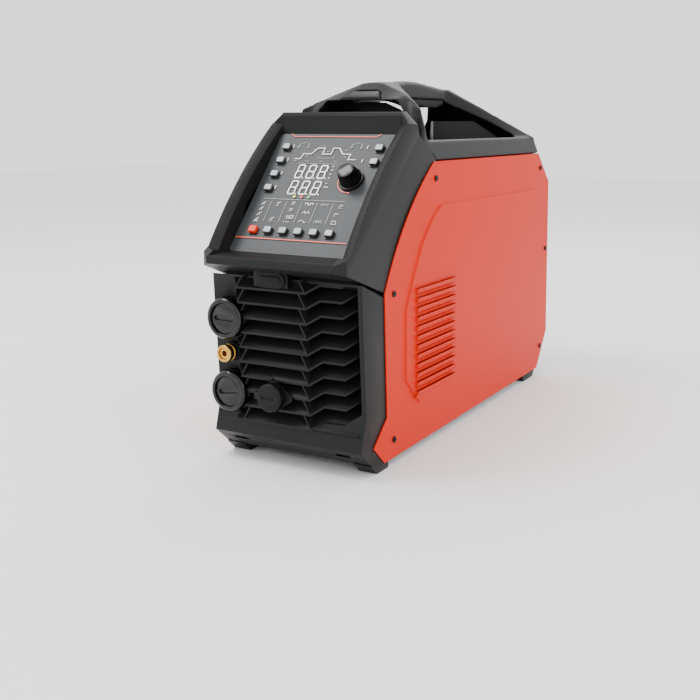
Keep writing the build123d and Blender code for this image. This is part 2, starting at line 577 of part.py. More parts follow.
FRONT_LEG = [
    (GRIP_HALF - 2, [(200, GRIP_TOP - 32), (242, GRIP_TOP - 5), (290, GRIP_TOP - 3),
                     (316, GRIP_TOP - 30)]),
    (HALF_WIDTH / 2, [(203, GRIP_TOP - 32), (234, GRIP_TOP - 22), (244, GRIP_TOP - 24),
                      (264, GRIP_TOP - 56)]),
    (HALF_WIDTH - 20, [(195, RAIL_TOP + 2), (199, RAIL_TOP + 47), (205, RAIL_TOP + 45),
                       (215, RAIL_TOP + 2)]),
    (HALF_WIDTH - 13, [(196, RAIL_TOP - 3), (198, RAIL_TOP + 20), (204, RAIL_TOP + 20),
                       (214, RAIL_TOP - 3)]),
]
REAR_LEG = [
    (GRIP_HALF - 2, [(HOOD_START - 30, GRIP_LOW - 4), (HOOD_START - 30, GRIP_TOP - 8),
                     (HOOD_START + 2, hood_z(HOOD_START + 2)), (HOOD_START + 40, GRIP_LOW - 12)]),
    (HALF_WIDTH / 2, [(HOOD_START + 55, RAIL_TOP + 27), (HOOD_START + 72, hood_z(HOOD_START + 72)),
                      (HOOD_START + 84, hood_z(HOOD_START + 84)), (HOOD_START + 84, RAIL_TOP + 20)]),
    (HALF_WIDTH - 20, [(HOOD_START + 104, RAIL_TOP - 4), (HOOD_START + 136, hood_z(HOOD_START + 136)),
                       (HOOD_START + 148, hood_z(HOOD_START + 148)), (HOOD_START + 150, RAIL_TOP - 4)]),
    (REAR_LEG_X + 3, [(HOOD_START + 116, RAIL_TOP - 10), (HOOD_START + 152, RAIL_TOP - 1),
                      (HOOD_START + 154, RAIL_TOP - 2), (HOOD_START + 154, RAIL_TOP - 10)]),
]

with BuildPart() as handle_frame:
    # grip
    prism_yz([(200, GRIP_TOP - 32), (242, GRIP_TOP - 5), (277, GRIP_TOP - 3), (302, GRIP_TOP - 4),
              (330, GRIP_TOP), (366, GRIP_TOP), (HOOD_START + 2, GRIP_TOP - 11),
              (HOOD_START + 6, GRIP_LOW - 3), (HOOD_START - 4, GRIP_LOW), (322, GRIP_LOW),
              (314, GRIP_TOP - 32)], -GRIP_HALF, GRIP_HALF)
    ridge = [edge for edge in handle_frame.edges() if edge.center().Z > GRIP_TOP - 17
             and abs(edge.center().X) > GRIP_HALF - 1 and edge.center().Z > GRIP_TOP - 25
             and edge.length > 3.0]
    chamfer(ridge, 6.0)
    for side in (-1, 1):
        add(leg(FRONT_LEG, side))
        add(leg(REAR_LEG, side))
        # side rail along the top of the cover
        rail = [(side * (HALF_WIDTH - 0.4), BODY_TOP + GAP), (side * (HALF_WIDTH - 12), RAIL_TOP),
                (side * (RAIL_IN + 8), RAIL_TOP), (side * RAIL_IN, BODY_TOP + GAP)]
        prism_xz(rail, 175, TAIL_Y)
    # hood between the rear legs
    with BuildPart(mode=Mode.PRIVATE) as hood:
        prism_yz([(HOOD_START - 4, hood_z(HOOD_START - 4)), (TAIL_Y, hood_z(TAIL_Y)),
                  (TAIL_Y, hood_z(TAIL_Y) - 4), (HOOD_START - 4, hood_z(HOOD_START - 4) - 4)],
                 -HALF_WIDTH, HALF_WIDTH)
        prism_xy([(-GRIP_HALF + 4, HOOD_START - 4), (-REAR_LEG_X - 4, TAIL_Y), (REAR_LEG_X + 4, TAIL_Y),
                  (GRIP_HALF - 4, HOOD_START - 4)], BODY_TOP, GRIP_TOP + 20, Mode.INTERSECT)
    add(hood.part)
    # cross wall that closes the tail between the rails
    block((-REAR_LEG_X, REAR_LEG_X), (TAIL_Y - 4, TAIL_Y), (BODY_TOP + GAP, hood_z(TAIL_Y) - 1))
    # front ends of the rails meet the control head on a slanting joint
    prism_yz([(150, BODY_TOP - 10), (150, RAIL_TOP + 20), (171.4, BODY_TOP + 38.4),
              (181.4, BODY_TOP + 30.4), (207.4, BODY_TOP + 9.4), (222.4, BODY_TOP - 3.6)],
             -HALF_WIDTH - 5, HALF_WIDTH + 5, Mode.SUBTRACT)
    # seat of the front cap
    with BuildSketch(Plane.XZ.offset(-back(190))) as seat:
        with BuildLine():
            Polyline((-33 - GAP, GRIP_TOP - 40), (33 + GAP, GRIP_TOP - 40), (33 + GAP, GRIP_TOP - 32),
                     (21 + GAP, GRIP_TOP - 18.5), (-21 - GAP, GRIP_TOP - 18.5),
                     (-33 - GAP, GRIP_TOP - 32), close=True)
        make_face()
    extrude(seat.sketch, amount=-40.0, mode=Mode.SUBTRACT)
save(handle_frame.part, "handle_frame")

with BuildPart() as handle_front_cap:
    prism_xz([(-33, GRIP_TOP - 32), (33, GRIP_TOP - 32), (21, GRIP_TOP - 18.5 - GAP),
              (-21, GRIP_TOP - 18.5 - GAP)], 203, 229.7)
    prism_yz([(190, GRIP_TOP - 33.5), (190, GRIP_TOP), (250, GRIP_TOP), (250, GRIP_TOP - 5)],
             -40, 40, Mode.SUBTRACT)
save(handle_front_cap.part, "handle_front_cap")

with BuildPart() as grip_insert:
    prism_yz([(324, GRIP_LOW), (350, GRIP_LOW - 8), (400, GRIP_LOW - 12), (432, GRIP_LOW - 12),
              (HOOD_START - 34, GRIP_LOW - 6), (HOOD_START - 34, GRIP_LOW)],
             -GRIP_HALF + 1.5, GRIP_HALF - 1.5)
save(grip_insert.part, "grip_insert")

DECK_Z = BODY_TOP + 5.0
with BuildPart() as top_deck:
    block((-INNER_X + 1, INNER_X - 1), (226, TAIL_Y - 6), (BODY_TOP - 5.0, BODY_TOP - COVER_SHEET))
    block((-RAIL_IN + GAP, RAIL_IN - GAP), (226, TAIL_Y - 6), (BODY_TOP - 5.0, DECK_Z))
    # pocket wall under the front of the handle
    prism_xz([(-78, DECK_Z - 2), (78, DECK_Z - 2), (78, RAIL_TOP + 14), (60, RAIL_TOP + 36),
              (44, RAIL_TOP + 45), (20, RAIL_TOP + 55), (-20, RAIL_TOP + 55), (-44, RAIL_TOP + 45),
              (-60, RAIL_TOP + 36), (-78, RAIL_TOP + 14)], 244, 248)
    # prow-shaped support under the rear of the handle
    prism_xy([(0, 451), (70, 581), (-70, 581)], DECK_Z - 2, RAIL_TOP + 28)
    prism_xy([(0, 457), (64, 577), (-64, 577)], DECK_Z, RAIL_TOP + 40, Mode.SUBTRACT)
    prism_yz([(440, RAIL_TOP + 46), (466, RAIL_TOP + 46), (500, RAIL_TOP + 44), (600, RAIL_TOP - 14),
              (600, RAIL_TOP + 60), (440, RAIL_TOP + 60)], -90, 90, Mode.SUBTRACT)
save(top_deck.part, "top_deck")


# ---------------------------------------------------------------- base, rear panel and feet
FLOOR_Z = BASE_Z + 4.0
REAR_FACE = BODY_LENGTH - 6.0                 # outside of the rear panel's flat
FLOOR_END = BODY_LENGTH - 56.0

with BuildPart() as base_tray:
    block((-INNER_X, INNER_X), (78 + GAP, FLOOR_END), (FLOOR_Z, FLOOR_Z + 2.0))
    for side in (-1, 1):
        low, high = sorted((side * INNER_X, side * (INNER_X - 2)))
        block((low, high), (96, FLOOR_END), (FLOOR_Z, FLOOR_Z + 34.0))
    with BuildSketch(Plane.XY.offset(FLOOR_Z - 1)) as vents:
        with Locations(*[(0, back(y)) for y in range(140, 560, 30)]):
            SlotOverall(90, 8)
    extrude(vents.sketch, amount=6.0, mode=Mode.SUBTRACT)
save(base_tray.part, "base_tray")

REAR_OUT = [(BODY_LENGTH - 50, BASE_Z + 5), (BODY_LENGTH - 6, 72), (REAR_FACE, 76),
            (REAR_FACE, BODY_TOP - 56), (BODY_LENGTH - 61, BODY_TOP - 6)]
FAN_Z = 215.0
GLAND_X, GLAND_Z = 60.0, 336.0
SWITCH_X, SWITCH_Z = -48.0, 332.0
INLET_X, INLET_Z = -78.0, 110.0
STUD_X, STUD_Z = 78.0, 110.0
FAN_FRAME = 2 * FAN_RADIUS + 10.0

with BuildPart() as rear_panel:
    inner = [(y - WALL, z + (2.0 if z < 60 else -1.0)) for y, z in REAR_OUT]
    prism_yz(REAR_OUT + inner[::-1], -INNER_X, INNER_X)
    for side in (-1, 1):
        low, high = sorted((side * INNER_X, side * (INNER_X - WALL)))
        prism_yz([(BODY_LENGTH - 50, BASE_Z + 6)] + REAR_OUT[1:]
                 + [(BODY_LENGTH - 78, BODY_TOP - 8), (BODY_LENGTH - 22, BODY_TOP - 60),
                    (BODY_LENGTH - 24, 76), (BODY_LENGTH - 52, 40)], low, high)
    disc_y(0, FAN_Z, REAR_FACE - 10, REAR_FACE + 5, FAN_RADIUS + 1, Mode.SUBTRACT)
    disc_y(GLAND_X, GLAND_Z, REAR_FACE - 10, REAR_FACE + 5, 13.0, Mode.SUBTRACT)
    block((SWITCH_X - 22.3, SWITCH_X + 22.3), (REAR_FACE - 10, REAR_FACE + 5),
          (SWITCH_Z - 18.3, SWITCH_Z + 18.3), Mode.SUBTRACT)
    disc_y(INLET_X, INLET_Z, REAR_FACE - 10, REAR_FACE + 5, 8.3, Mode.SUBTRACT)
    disc_y(STUD_X, STUD_Z, REAR_FACE - 10, REAR_FACE + 5, 4.2, Mode.SUBTRACT)
save(rear_panel.part, "rear_panel")

with BuildPart() as rear_feet:
    for side in (-1, 1):
        low, high = sorted((side * FOOT_X, side * (INNER_X - 0.5)))
        prism_yz([(584, FLOOR_Z), (590, 0), (BODY_LENGTH - 64, 0), (BODY_LENGTH - 52, FLOOR_Z)], low, high)
        prism_xy([(side * (FOOT_X - 12), 584), (side * (FOOT_X + 2), 584),
                  (side * (FOOT_X + 2), BODY_LENGTH - 56), (side * (FOOT_X - 12), BODY_LENGTH - 56)],
                 FLOOR_Z - 3, FLOOR_Z)
        for rib in range(5):
            y = 594 + rib * 8
            block(sorted((side * (FOOT_X - 0.5), side * (FOOT_X + 1.5))), (y, y + 3), (-1, FLOOR_Z - 4),
                  Mode.SUBTRACT)
save(rear_feet.part, "rear_feet")


# ---------------------------------------------------------------- output sockets, gas and control
def output_set(z, plug_turn, ring_label, plug_label, socket_label):
    """Insulated output socket: outer ring, brass socket and the slotted dust plug in its mouth."""
    face = face_y(z)
    with BuildPart() as ring:
        disc_y(SOCKET_X, z, face - 21, face + 0.4, SOCKET_RING_DIA / 2)
        front = ring.faces().sort_by(Axis.Y)[0].edges()
        chamfer(front, 3.0)
        disc_y(SOCKET_X, z, face - 22, face - 8, 21.6, Mode.SUBTRACT)
        disc_y(SOCKET_X, z, face - 9, face + 1, 18.0 + GAP, Mode.SUBTRACT)
    save(ring.part, ring_label)
    with BuildPart() as socket:
        disc_y(SOCKET_X, z, face - 7.7, face + 40, 18.0)
        disc_y(SOCKET_X, z, face + WALL + 3.3, face + WALL + 9, 24.0)
        disc_y(SOCKET_X, z, face - 8, face + 30, 10.4, Mode.SUBTRACT)
        disc_y(SOCKET_X, z, face + 39, face + 52, 6.0)
    save(socket.part, socket_label)
    with BuildPart() as plug:
        disc_y(SOCKET_X, z, face - 18.5, face - 8, 21.3)
        disc_y(SOCKET_X, z, face - 9, face + 8, 9.8)
        with BuildSketch(Plane.XZ.offset(-back(face - 19.5))) as cut:
            with Locations(Location((SOCKET_X, z), plug_turn)):
                SlotOverall(32.0, 6.0)
        extrude(cut.sketch, amount=-5.0, mode=Mode.SUBTRACT)
    save(plug.part, plug_label)


output_set(SOCKET_TOP_Z, 0.0, "socket_ring_top", "socket_plug_top", "output_socket_top")
output_set(SOCKET_BOTTOM_Z, 8.0, "socket_ring_bottom", "socket_plug_bottom", "output_socket_bottom")

gas_y = face_y(GAS_Z)
with BuildPart() as gas_outlet_flange:
    disc_y(SOCKET_X, GAS_Z, gas_y - 5, gas_y + 0.4, 13.5)
    chamfer(gas_outlet_flange.faces().sort_by(Axis.Y)[0].edges(), 1.5)
    disc_y(SOCKET_X, GAS_Z, gas_y - 6, gas_y + 1, 8.0 + GAP, Mode.SUBTRACT)
save(gas_outlet_flange.part, "gas_outlet_flange")

with BuildPart() as gas_outlet_body:
    disc_y(SOCKET_X, GAS_Z, gas_y - 22, gas_y + 22, 8.0)
    disc_y(SOCKET_X, GAS_Z, gas_y + WALL + 3, gas_y + WALL + 8, 13.0)
    disc_y(SOCKET_X, GAS_Z, gas_y - 30, gas_y + 12, 4.0, Mode.SUBTRACT)
    disc_y(SOCKET_X, GAS_Z, gas_y + 21, gas_y + 34, 4.0)
save(gas_outlet_body.part, "gas_outlet_body")

with BuildPart() as gas_outlet_collar:
    disc_y(SOCKET_X, GAS_Z, gas_y - 24, gas_y - 9, 12.0)
    chamfer(gas_outlet_collar.faces().sort_by(Axis.Y)[0].edges(), 1.2)
    with BuildSketch(Plane.XZ.offset(-back(gas_y - 15))) as grooves:
        with Locations((SOCKET_X, GAS_Z)):
            Circle(12.5)
            Circle(11.0, mode=Mode.SUBTRACT)
    extrude(grooves.sketch, amount=-2.0, mode=Mode.SUBTRACT)
    disc_y(SOCKET_X, GAS_Z, gas_y - 25, gas_y - 8, 8.0 + GAP, Mode.SUBTRACT)
save(gas_outlet_collar.part, "gas_outlet_collar")

with BuildPart() as control_socket:
    with BuildSketch(Plane.XZ.offset(-back(socket_y - 1.8))) as rhombus:
        with Locations((FLANGE_X, FLANGE_Z)):
            Polygon((-24, 0), (0, 16), (24, 0), (0, -16), align=None)
            offset(amount=6.0, kind=Kind.ARC, mode=Mode.REPLACE)
    extrude(rhombus.sketch, amount=-3.6)
    disc_y(FLANGE_X, FLANGE_Z, socket_y - 12, socket_y + 36, 12.0)
    disc_y(FLANGE_X, FLANGE_Z, socket_y - 13, socket_y + 10, 9.6, Mode.SUBTRACT)
    disc_y(FLANGE_X, FLANGE_Z, socket_y + 8, socket_y + 12, 9.8)
    with BuildSketch(Plane.XZ.offset(-back(socket_y + 9))) as pins:
        with Locations((FLANGE_X, FLANGE_Z)):
            with PolarLocations(5.6, 6):
                Circle(0.9)
    extrude(pins.sketch, amount=14.0)
save(control_socket.part, "control_socket")

with BuildPart() as control_socket_cap:
    disc_y(FLANGE_X, FLANGE_Z, socket_y - 15, socket_y - 2.2, 19.5)
    chamfer(control_socket_cap.faces().sort_by(Axis.Y)[0].edges(), 2.0)
    disc_y(FLANGE_X, FLANGE_Z, socket_y - 12.4, socket_y - 1, 12.0 + GAP, Mode.SUBTRACT)
    block((FLANGE_X - 27, FLANGE_X - 18), (socket_y - 9, socket_y - 4), (FLANGE_Z - 5, FLANGE_Z + 5))
    with BuildSketch(Plane.XZ.offset(-back(socket_y - 16))) as finger_slot:
        with Locations((FLANGE_X, FLANGE_Z)):
            SlotOverall(22.0, 4.0)
    extrude(finger_slot.sketch, amount=-2.4, mode=Mode.SUBTRACT)
save(control_socket_cap.part, "control_socket_cap")

with BuildPart() as port_cover:
    with BuildSketch(Plane.XZ.offset(-back(PORT_Y - 2.4))) as lid:
        with Locations((PORT_X, PORT_Z)):
            SlotOverall(*PORT_SIZE)
    extrude(lid.sketch, amount=-2.2)
    with BuildSketch(Plane.XZ.offset(-back(PORT_Y - 3.6))) as raised:
        with Locations((PORT_X, PORT_Z)):
            SlotOverall(PORT_SIZE[0] - 12, PORT_SIZE[1] - 12)
    extrude(raised.sketch, amount=-1.4)
    with BuildSketch(Plane.XZ.offset(-back(PORT_Y - 0.3))) as spigot:
        with Locations((PORT_X, PORT_Z)):
            SlotOverall(PORT_SIZE[0] - 8, PORT_SIZE[1] - 8)
    extrude(spigot.sketch, amount=-6.0)
save(port_cover.part, "port_cover")


# ---------------------------------------------------------------- rear fittings and the fan
with BuildPart() as rear_grille:
    with BuildSketch(Plane.XZ.offset(-back(REAR_FACE))) as guard:
        with Locations((0, FAN_Z)):
            RectangleRounded(FAN_FRAME + 6, FAN_FRAME + 6, 8.0)
            for ring in reversed(range(6)):
                inner_r = 14.0 + ring * 9.6
                Circle(inner_r + 6.6, mode=Mode.SUBTRACT)
                Circle(inner_r)
            with PolarLocations(0, 4):
                Rectangle(2 * FAN_RADIUS, 5.0)
            with Locations(*[(sx * FAN_RADIUS * 0.93, sz * FAN_RADIUS * 0.93)
                             for sx in (-1, 1) for sz in (-1, 1)]):
                Circle(2.2, mode=Mode.SUBTRACT)
    extrude(guard.sketch, amount=-4.0)
save(rear_grille.part, "rear_grille")

FAN_FRONT = REAR_FACE - WALL - 40.0
with BuildPart() as fan_housing:
    with BuildSketch(Plane.XZ.offset(-back(FAN_FRONT))) as frame:
        with Locations((0, FAN_Z)):
            RectangleRounded(FAN_FRAME, FAN_FRAME, 8.0)
            Circle(FAN_RADIUS, mode=Mode.SUBTRACT)
    extrude(frame.sketch, amount=-(REAR_FACE - WALL - FAN_FRONT))
    with BuildSketch(Plane.XZ.offset(-back(FAN_FRONT))) as spider:
        with Locations((0, FAN_Z)):
            Circle(22.0)
            with PolarLocations(0, 4):
                Rectangle(2 * FAN_RADIUS + 2, 6.0)
    extrude(spider.sketch, amount=-4.0)
    disc_y(0, FAN_Z, FAN_FRONT + 3, FAN_FRONT + 14, 3.0)
save(fan_housing.part, "fan_housing")

with BuildPart() as fan_rotor:
    disc_y(0, FAN_Z, FAN_FRONT + 6, FAN_FRONT + 32, 22.0)
    disc_y(0, FAN_Z, FAN_FRONT + 5, FAN_FRONT + 20, 3.0 + GAP, Mode.SUBTRACT)
    for index in range(7):
        blade_plane = Plane(origin=(0, back(FAN_FRONT + 19), FAN_Z)).rotated((0, index * 360 / 7, 0))
        with BuildSketch(blade_plane.offset(20.5)) as root:
            Rectangle(3.0, 26.0, rotation=35)
        with BuildSketch(blade_plane.offset(FAN_RADIUS - 2.5)) as tip:
            Rectangle(2.4, 26.0, rotation=58)
        with BuildPart(mode=Mode.PRIVATE) as vane:
            loft([root.sketch, tip.sketch])
        add(vane.part)
save(fan_rotor.part, "fan_rotor")

with BuildPart() as mains_switch_body:
    with BuildSketch(Plane.XZ.offset(-back(REAR_FACE))) as plate:
        with Locations((SWITCH_X, SWITCH_Z)):
            RectangleRounded(52.0, 44.0, 3.0)
    extrude(plate.sketch, amount=-5.0)
    block((SWITCH_X - 22, SWITCH_X + 22), (REAR_FACE - 44, REAR_FACE + 0.1), (SWITCH_Z - 18, SWITCH_Z + 18))
    disc_y(SWITCH_X, SWITCH_Z, REAR_FACE - 12, REAR_FACE + 12, 4.0 + GAP, Mode.SUBTRACT)
save(mains_switch_body.part, "mains_switch_body")

with BuildPart() as mains_switch_knob:
    disc_y(SWITCH_X, SWITCH_Z, REAR_FACE + 5.3, REAR_FACE + 10, 17.0)
    block((SWITCH_X - 5, SWITCH_X + 5), (REAR_FACE + 9, REAR_FACE + 24), (SWITCH_Z - 16, SWITCH_Z + 16))
    disc_y(SWITCH_X, SWITCH_Z, REAR_FACE - 10, REAR_FACE + 6, 4.0)
save(mains_switch_knob.part, "mains_switch_knob")

GLAND_END = BODY_LENGTH + REAR_REACH
with BuildPart() as mains_gland:
    with BuildSketch(Plane.XZ.offset(-back(REAR_FACE))) as hexagon:
        with Locations((GLAND_X, GLAND_Z)):
            RegularPolygon(17.0, 6)
    extrude(hexagon.sketch, amount=-8.0)
    disc_y(GLAND_X, GLAND_Z, REAR_FACE - 14, GLAND_END - 12, 12.6)
    with BuildSketch(Plane.XZ.offset(-back(REAR_FACE + 12))) as cap:
        with Locations((GLAND_X, GLAND_Z)):
            RegularPolygon(16.0, 6)
    extrude(cap.sketch, amount=-12.0)
    disc_y(GLAND_X, GLAND_Z, REAR_FACE + 23, GLAND_END, 12.0)
    chamfer(mains_gland.faces().sort_by(Axis.Y)[-1].edges(), 3.0)
    disc_y(GLAND_X, GLAND_Z, REAR_FACE - 20, GLAND_END + 1, 7.0, Mode.SUBTRACT)
    disc_y(GLAND_X, GLAND_Z, REAR_FACE - WALL - 5.4, REAR_FACE - WALL, 15.0)
    disc_y(GLAND_X, GLAND_Z, REAR_FACE - 20, REAR_FACE, 7.0, Mode.SUBTRACT)
save(mains_gland.part, "mains_gland")

with BuildPart() as gas_inlet:
    disc_y(INLET_X, INLET_Z, REAR_FACE - 24, REAR_FACE + 6, 8.0)
    with BuildSketch(Plane.XZ.offset(-back(REAR_FACE))) as hexagon:
        with Locations((INLET_X, INLET_Z)):
            RegularPolygon(12.0, 6)
    extrude(hexagon.sketch, amount=-7.0)
    disc_y(INLET_X, INLET_Z, REAR_FACE + 6, REAR_FACE + 30, 6.5)
    for barb in range(3):
        with BuildSketch(Plane.XZ.offset(-back(REAR_FACE + 12 + barb * 5))) as wide:
            with Locations((INLET_X, INLET_Z)):
                Circle(7.4)
        extrude(wide.sketch, amount=-3.0, taper=16)
    disc_y(INLET_X, INLET_Z, REAR_FACE - WALL - 5.0, REAR_FACE - WALL, 12.0)
    disc_y(INLET_X, INLET_Z, REAR_FACE - 30, REAR_FACE + 40, 3.0, Mode.SUBTRACT)
save(gas_inlet.part, "gas_inlet")

with BuildPart() as earth_stud:
    disc_y(STUD_X, STUD_Z, REAR_FACE - 12, REAR_FACE + 18, 4.0)
    for y, thick, radius in ((REAR_FACE, 1.6, 8.5), (REAR_FACE - WALL - 5, 5.0, 7.0)):
        disc_y(STUD_X, STUD_Z, y, y + thick, radius)
    with BuildSketch(Plane.XZ.offset(-back(REAR_FACE + 1.6))) as nut:
        with Locations((STUD_X, STUD_Z)):
            RegularPolygon(7.5, 6)
    extrude(nut.sketch, amount=-6.5)
save(earth_stud.part, "earth_stud")

with BuildPart() as case_screws:
    for side in (-1, 1):
        with BuildSketch(Plane.YZ.offset(side * (HALF_WIDTH + 0.05))) as heads:
            with Locations(*[(back(y), z) for y, z in COVER_SCREWS]):
                Circle(4.4)
                RegularPolygon(2.2, 6, mode=Mode.SUBTRACT)
        extrude(heads.sketch, amount=side * 1.8)
        with BuildSketch(Plane.YZ.offset(side * (HALF_WIDTH + 0.7))) as shanks:
            with Locations(*[(back(y), z) for y, z in COVER_SCREWS]):
                Circle(2.0)
        extrude(shanks.sketch, amount=-side * (COVER_SHEET + 0.6))
    corner = FAN_RADIUS * 0.93
    with BuildSketch(Plane.XZ.offset(-back(REAR_FACE + 4.05))) as guard_heads:
        with Locations(*[(x, FAN_Z + z) for x in (-corner, corner) for z in (-corner, corner)]):
            Circle(4.4)
            RegularPolygon(2.2, 6, mode=Mode.SUBTRACT)
    extrude(guard_heads.sketch, amount=-1.8)
    with BuildSketch(Plane.XZ.offset(-back(REAR_FACE + 4.7))) as guard_shanks:
        with Locations(*[(x, FAN_Z + z) for x in (-corner, corner) for z in (-corner, corner)]):
            Circle(2.0)
    extrude(guard_shanks.sketch, amount=4.5)
save(case_screws.part, "case_screws")


# ---------------------------------------------------------------- power unit inside
CHASSIS_X = 64.0
CHASSIS_TOP = 300.0
CHASSIS_FRONT, CHASSIS_BACK = 300.0, 632.0
SINK_Z = (60.0, 250.0)

with BuildPart() as inner_chassis:
    # channel that carries the cooling air from the fan past the heatsinks
    block((-CHASSIS_X, CHASSIS_X), (120, CHASSIS_BACK), (FLOOR_Z + 2, FLOOR_Z + 4))
    for side in (-1, 1):
        low, high = sorted((side * (CHASSIS_X - 2), side * CHASSIS_X))
        block((low, high), (CHASSIS_FRONT, CHASSIS_BACK), (FLOOR_Z + 2, CHASSIS_TOP))
    block((-CHASSIS_X, CHASSIS_X), (CHASSIS_FRONT, CHASSIS_BACK), (CHASSIS_TOP - 2, CHASSIS_TOP))
save(inner_chassis.part, "inner_chassis")

with BuildPart() as heatsinks:
    for side in (-1, 1):
        low, high = sorted((side * (CHASSIS_X - 8), side * (CHASSIS_X - 2)))
        block((low, high), (330, 560), SINK_Z)
        for fin in range(9):
            z = SINK_Z[0] + 12 + fin * 20
            low, high = sorted((side * 10, side * (CHASSIS_X - 7.9)))
            block((low, high), (330, 560), (z, z + 3))
save(heatsinks.part, "heatsinks")

with BuildPart() as power_board:
    block((-CHASSIS_X + 4, CHASSIS_X - 4), (316, 616), (CHASSIS_TOP + 6, CHASSIS_TOP + 7.6))
    for x in (-CHASSIS_X + 10, CHASSIS_X - 10):
        for y in (326, 606):
            with BuildSketch(Plane.XY.offset(CHASSIS_TOP)) as pillar:
                with Locations((x, back(y))):
                    RegularPolygon(4.0, 6)
            extrude(pillar.sketch, amount=6.0)
    for x, y, wide, long, tall in ((-38, 560, 26, 40, 22), (30, 560, 34, 34, 26), (36, 350, 22, 30, 14)):
        block((x - wide / 2, x + wide / 2), (y - long / 2, y + long / 2),
              (CHASSIS_TOP + 7.5, CHASSIS_TOP + 7.6 + tall))
save(power_board.part, "power_board")

with BuildPart() as capacitor_bank:
    with BuildSketch(Plane.XY.offset(CHASSIS_TOP + 7.6)) as cans:
        with Locations(*[(x, back(y)) for x in (-36, 0, 36) for y in (410, 450, 490)]):
            Circle(17.0)
    extrude(cans.sketch, amount=50.0)
    fillet(capacitor_bank.faces().sort_by(Axis.Z)[-1].edges(), 2.0)
save(capacitor_bank.part, "capacitor_bank")

CORE_Z = FLOOR_Z + 4.0
with BuildPart() as main_transformer:
    block((-46, 46), (196, 286), (CORE_Z, CORE_Z + 78))
    block((-28, 28), (190, 292), (CORE_Z + 14, CORE_Z + 64))
save(main_transformer.part, "main_transformer")

with BuildPart() as output_reactor:
    block((-40, 40), (124, 184), (CORE_Z, CORE_Z + 56))
    block((-24, 24), (119, 189), (CORE_Z + 10, CORE_Z + 46))
save(output_reactor.part, "output_reactor")

with BuildPart() as hf_unit:
    # spark unit and coupling coil on a shelf over the transformers
    block((-CHASSIS_X, CHASSIS_X), (196, 296), (CORE_Z + 84, CORE_Z + 87))
    for side in (-1, 1):
        low, high = sorted((side * (CHASSIS_X - 3), side * CHASSIS_X))
        block((low, high), (196, 296), (CORE_Z, CORE_Z + 87))
    with BuildSketch(Plane.XZ.offset(-back(206))) as coil:
        with Locations((0, CORE_Z + 121)):
            Circle(34.0)
            Circle(14.0, mode=Mode.SUBTRACT)
    extrude(coil.sketch, amount=-60.0)
save(hf_unit.part, "hf_unit")

VALVE_Y = 300.0
with BuildPart() as gas_valve:
    block((-CHASSIS_X - 40, -CHASSIS_X), (VALVE_Y + 10, VALVE_Y + 50), (FLOOR_Z + 2, FLOOR_Z + 42))
    with BuildSketch(Plane.XY.offset(FLOOR_Z + 41.9)) as coil:
        with Locations((-CHASSIS_X - 20, back(VALVE_Y + 30))):
            Circle(15.0)
    extrude(coil.sketch, amount=38.0)
save(gas_valve.part, "gas_valve")


HOSE_RADIUS = 4.0
FRONT_HOSE = [(SOCKET_X, gas_y + 35, GAS_Z), (SOCKET_X, 110, GAS_Z - 10), (SOCKET_X, 200, 90),
              (-CHASSIS_X - 20, VALVE_Y - 20, FLOOR_Z + 24), (-CHASSIS_X - 20, VALVE_Y + 9, FLOOR_Z + 22)]
REAR_HOSE = [(-CHASSIS_X - 20, VALVE_Y + 51, FLOOR_Z + 22), (-CHASSIS_X - 20, VALVE_Y + 90, FLOOR_Z + 24),
             (INLET_X - 4, 560, 80), (INLET_X, 640, INLET_Z - 2), (INLET_X, REAR_FACE - 25, INLET_Z)]
with BuildPart() as gas_hoses:
    for points in (FRONT_HOSE, REAR_HOSE):
        with BuildLine() as path:
            Spline(*[(x, back(y), z) for x, y, z in points])
        with BuildSketch(Plane(origin=path.line @ 0, z_dir=path.line % 0)) as bore:
            Circle(HOSE_RADIUS)
        sweep(bore.sketch, path=path.line)
save(gas_hoses.part, "gas_hoses")

with BuildPart() as busbars:
    for z in (SOCKET_TOP_Z, SOCKET_BOTTOM_Z):
        start = face_y(z) + 52
        disc_y(SOCKET_X, z, start, start + 4, 12.0)
        block((SOCKET_X - 10, SOCKET_X + 10), (start, start + 4), (z - 24, z))
        block((SOCKET_X - 10, -CHASSIS_X + 22), (start, start + 4), (z - 28, z - 20))
save(busbars.part, "busbars")
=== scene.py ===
"""Looks of a portable AC/DC TIG welding power source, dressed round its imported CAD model.

The sections follow the machine as it is put together: studio, base and rear, inner unit, lower
front, sockets, covers, control head with its panel, and the carrying handle. Everything is in
metres in the model's own frame: +Z up, the controls face -Y.
"""

import json
import math

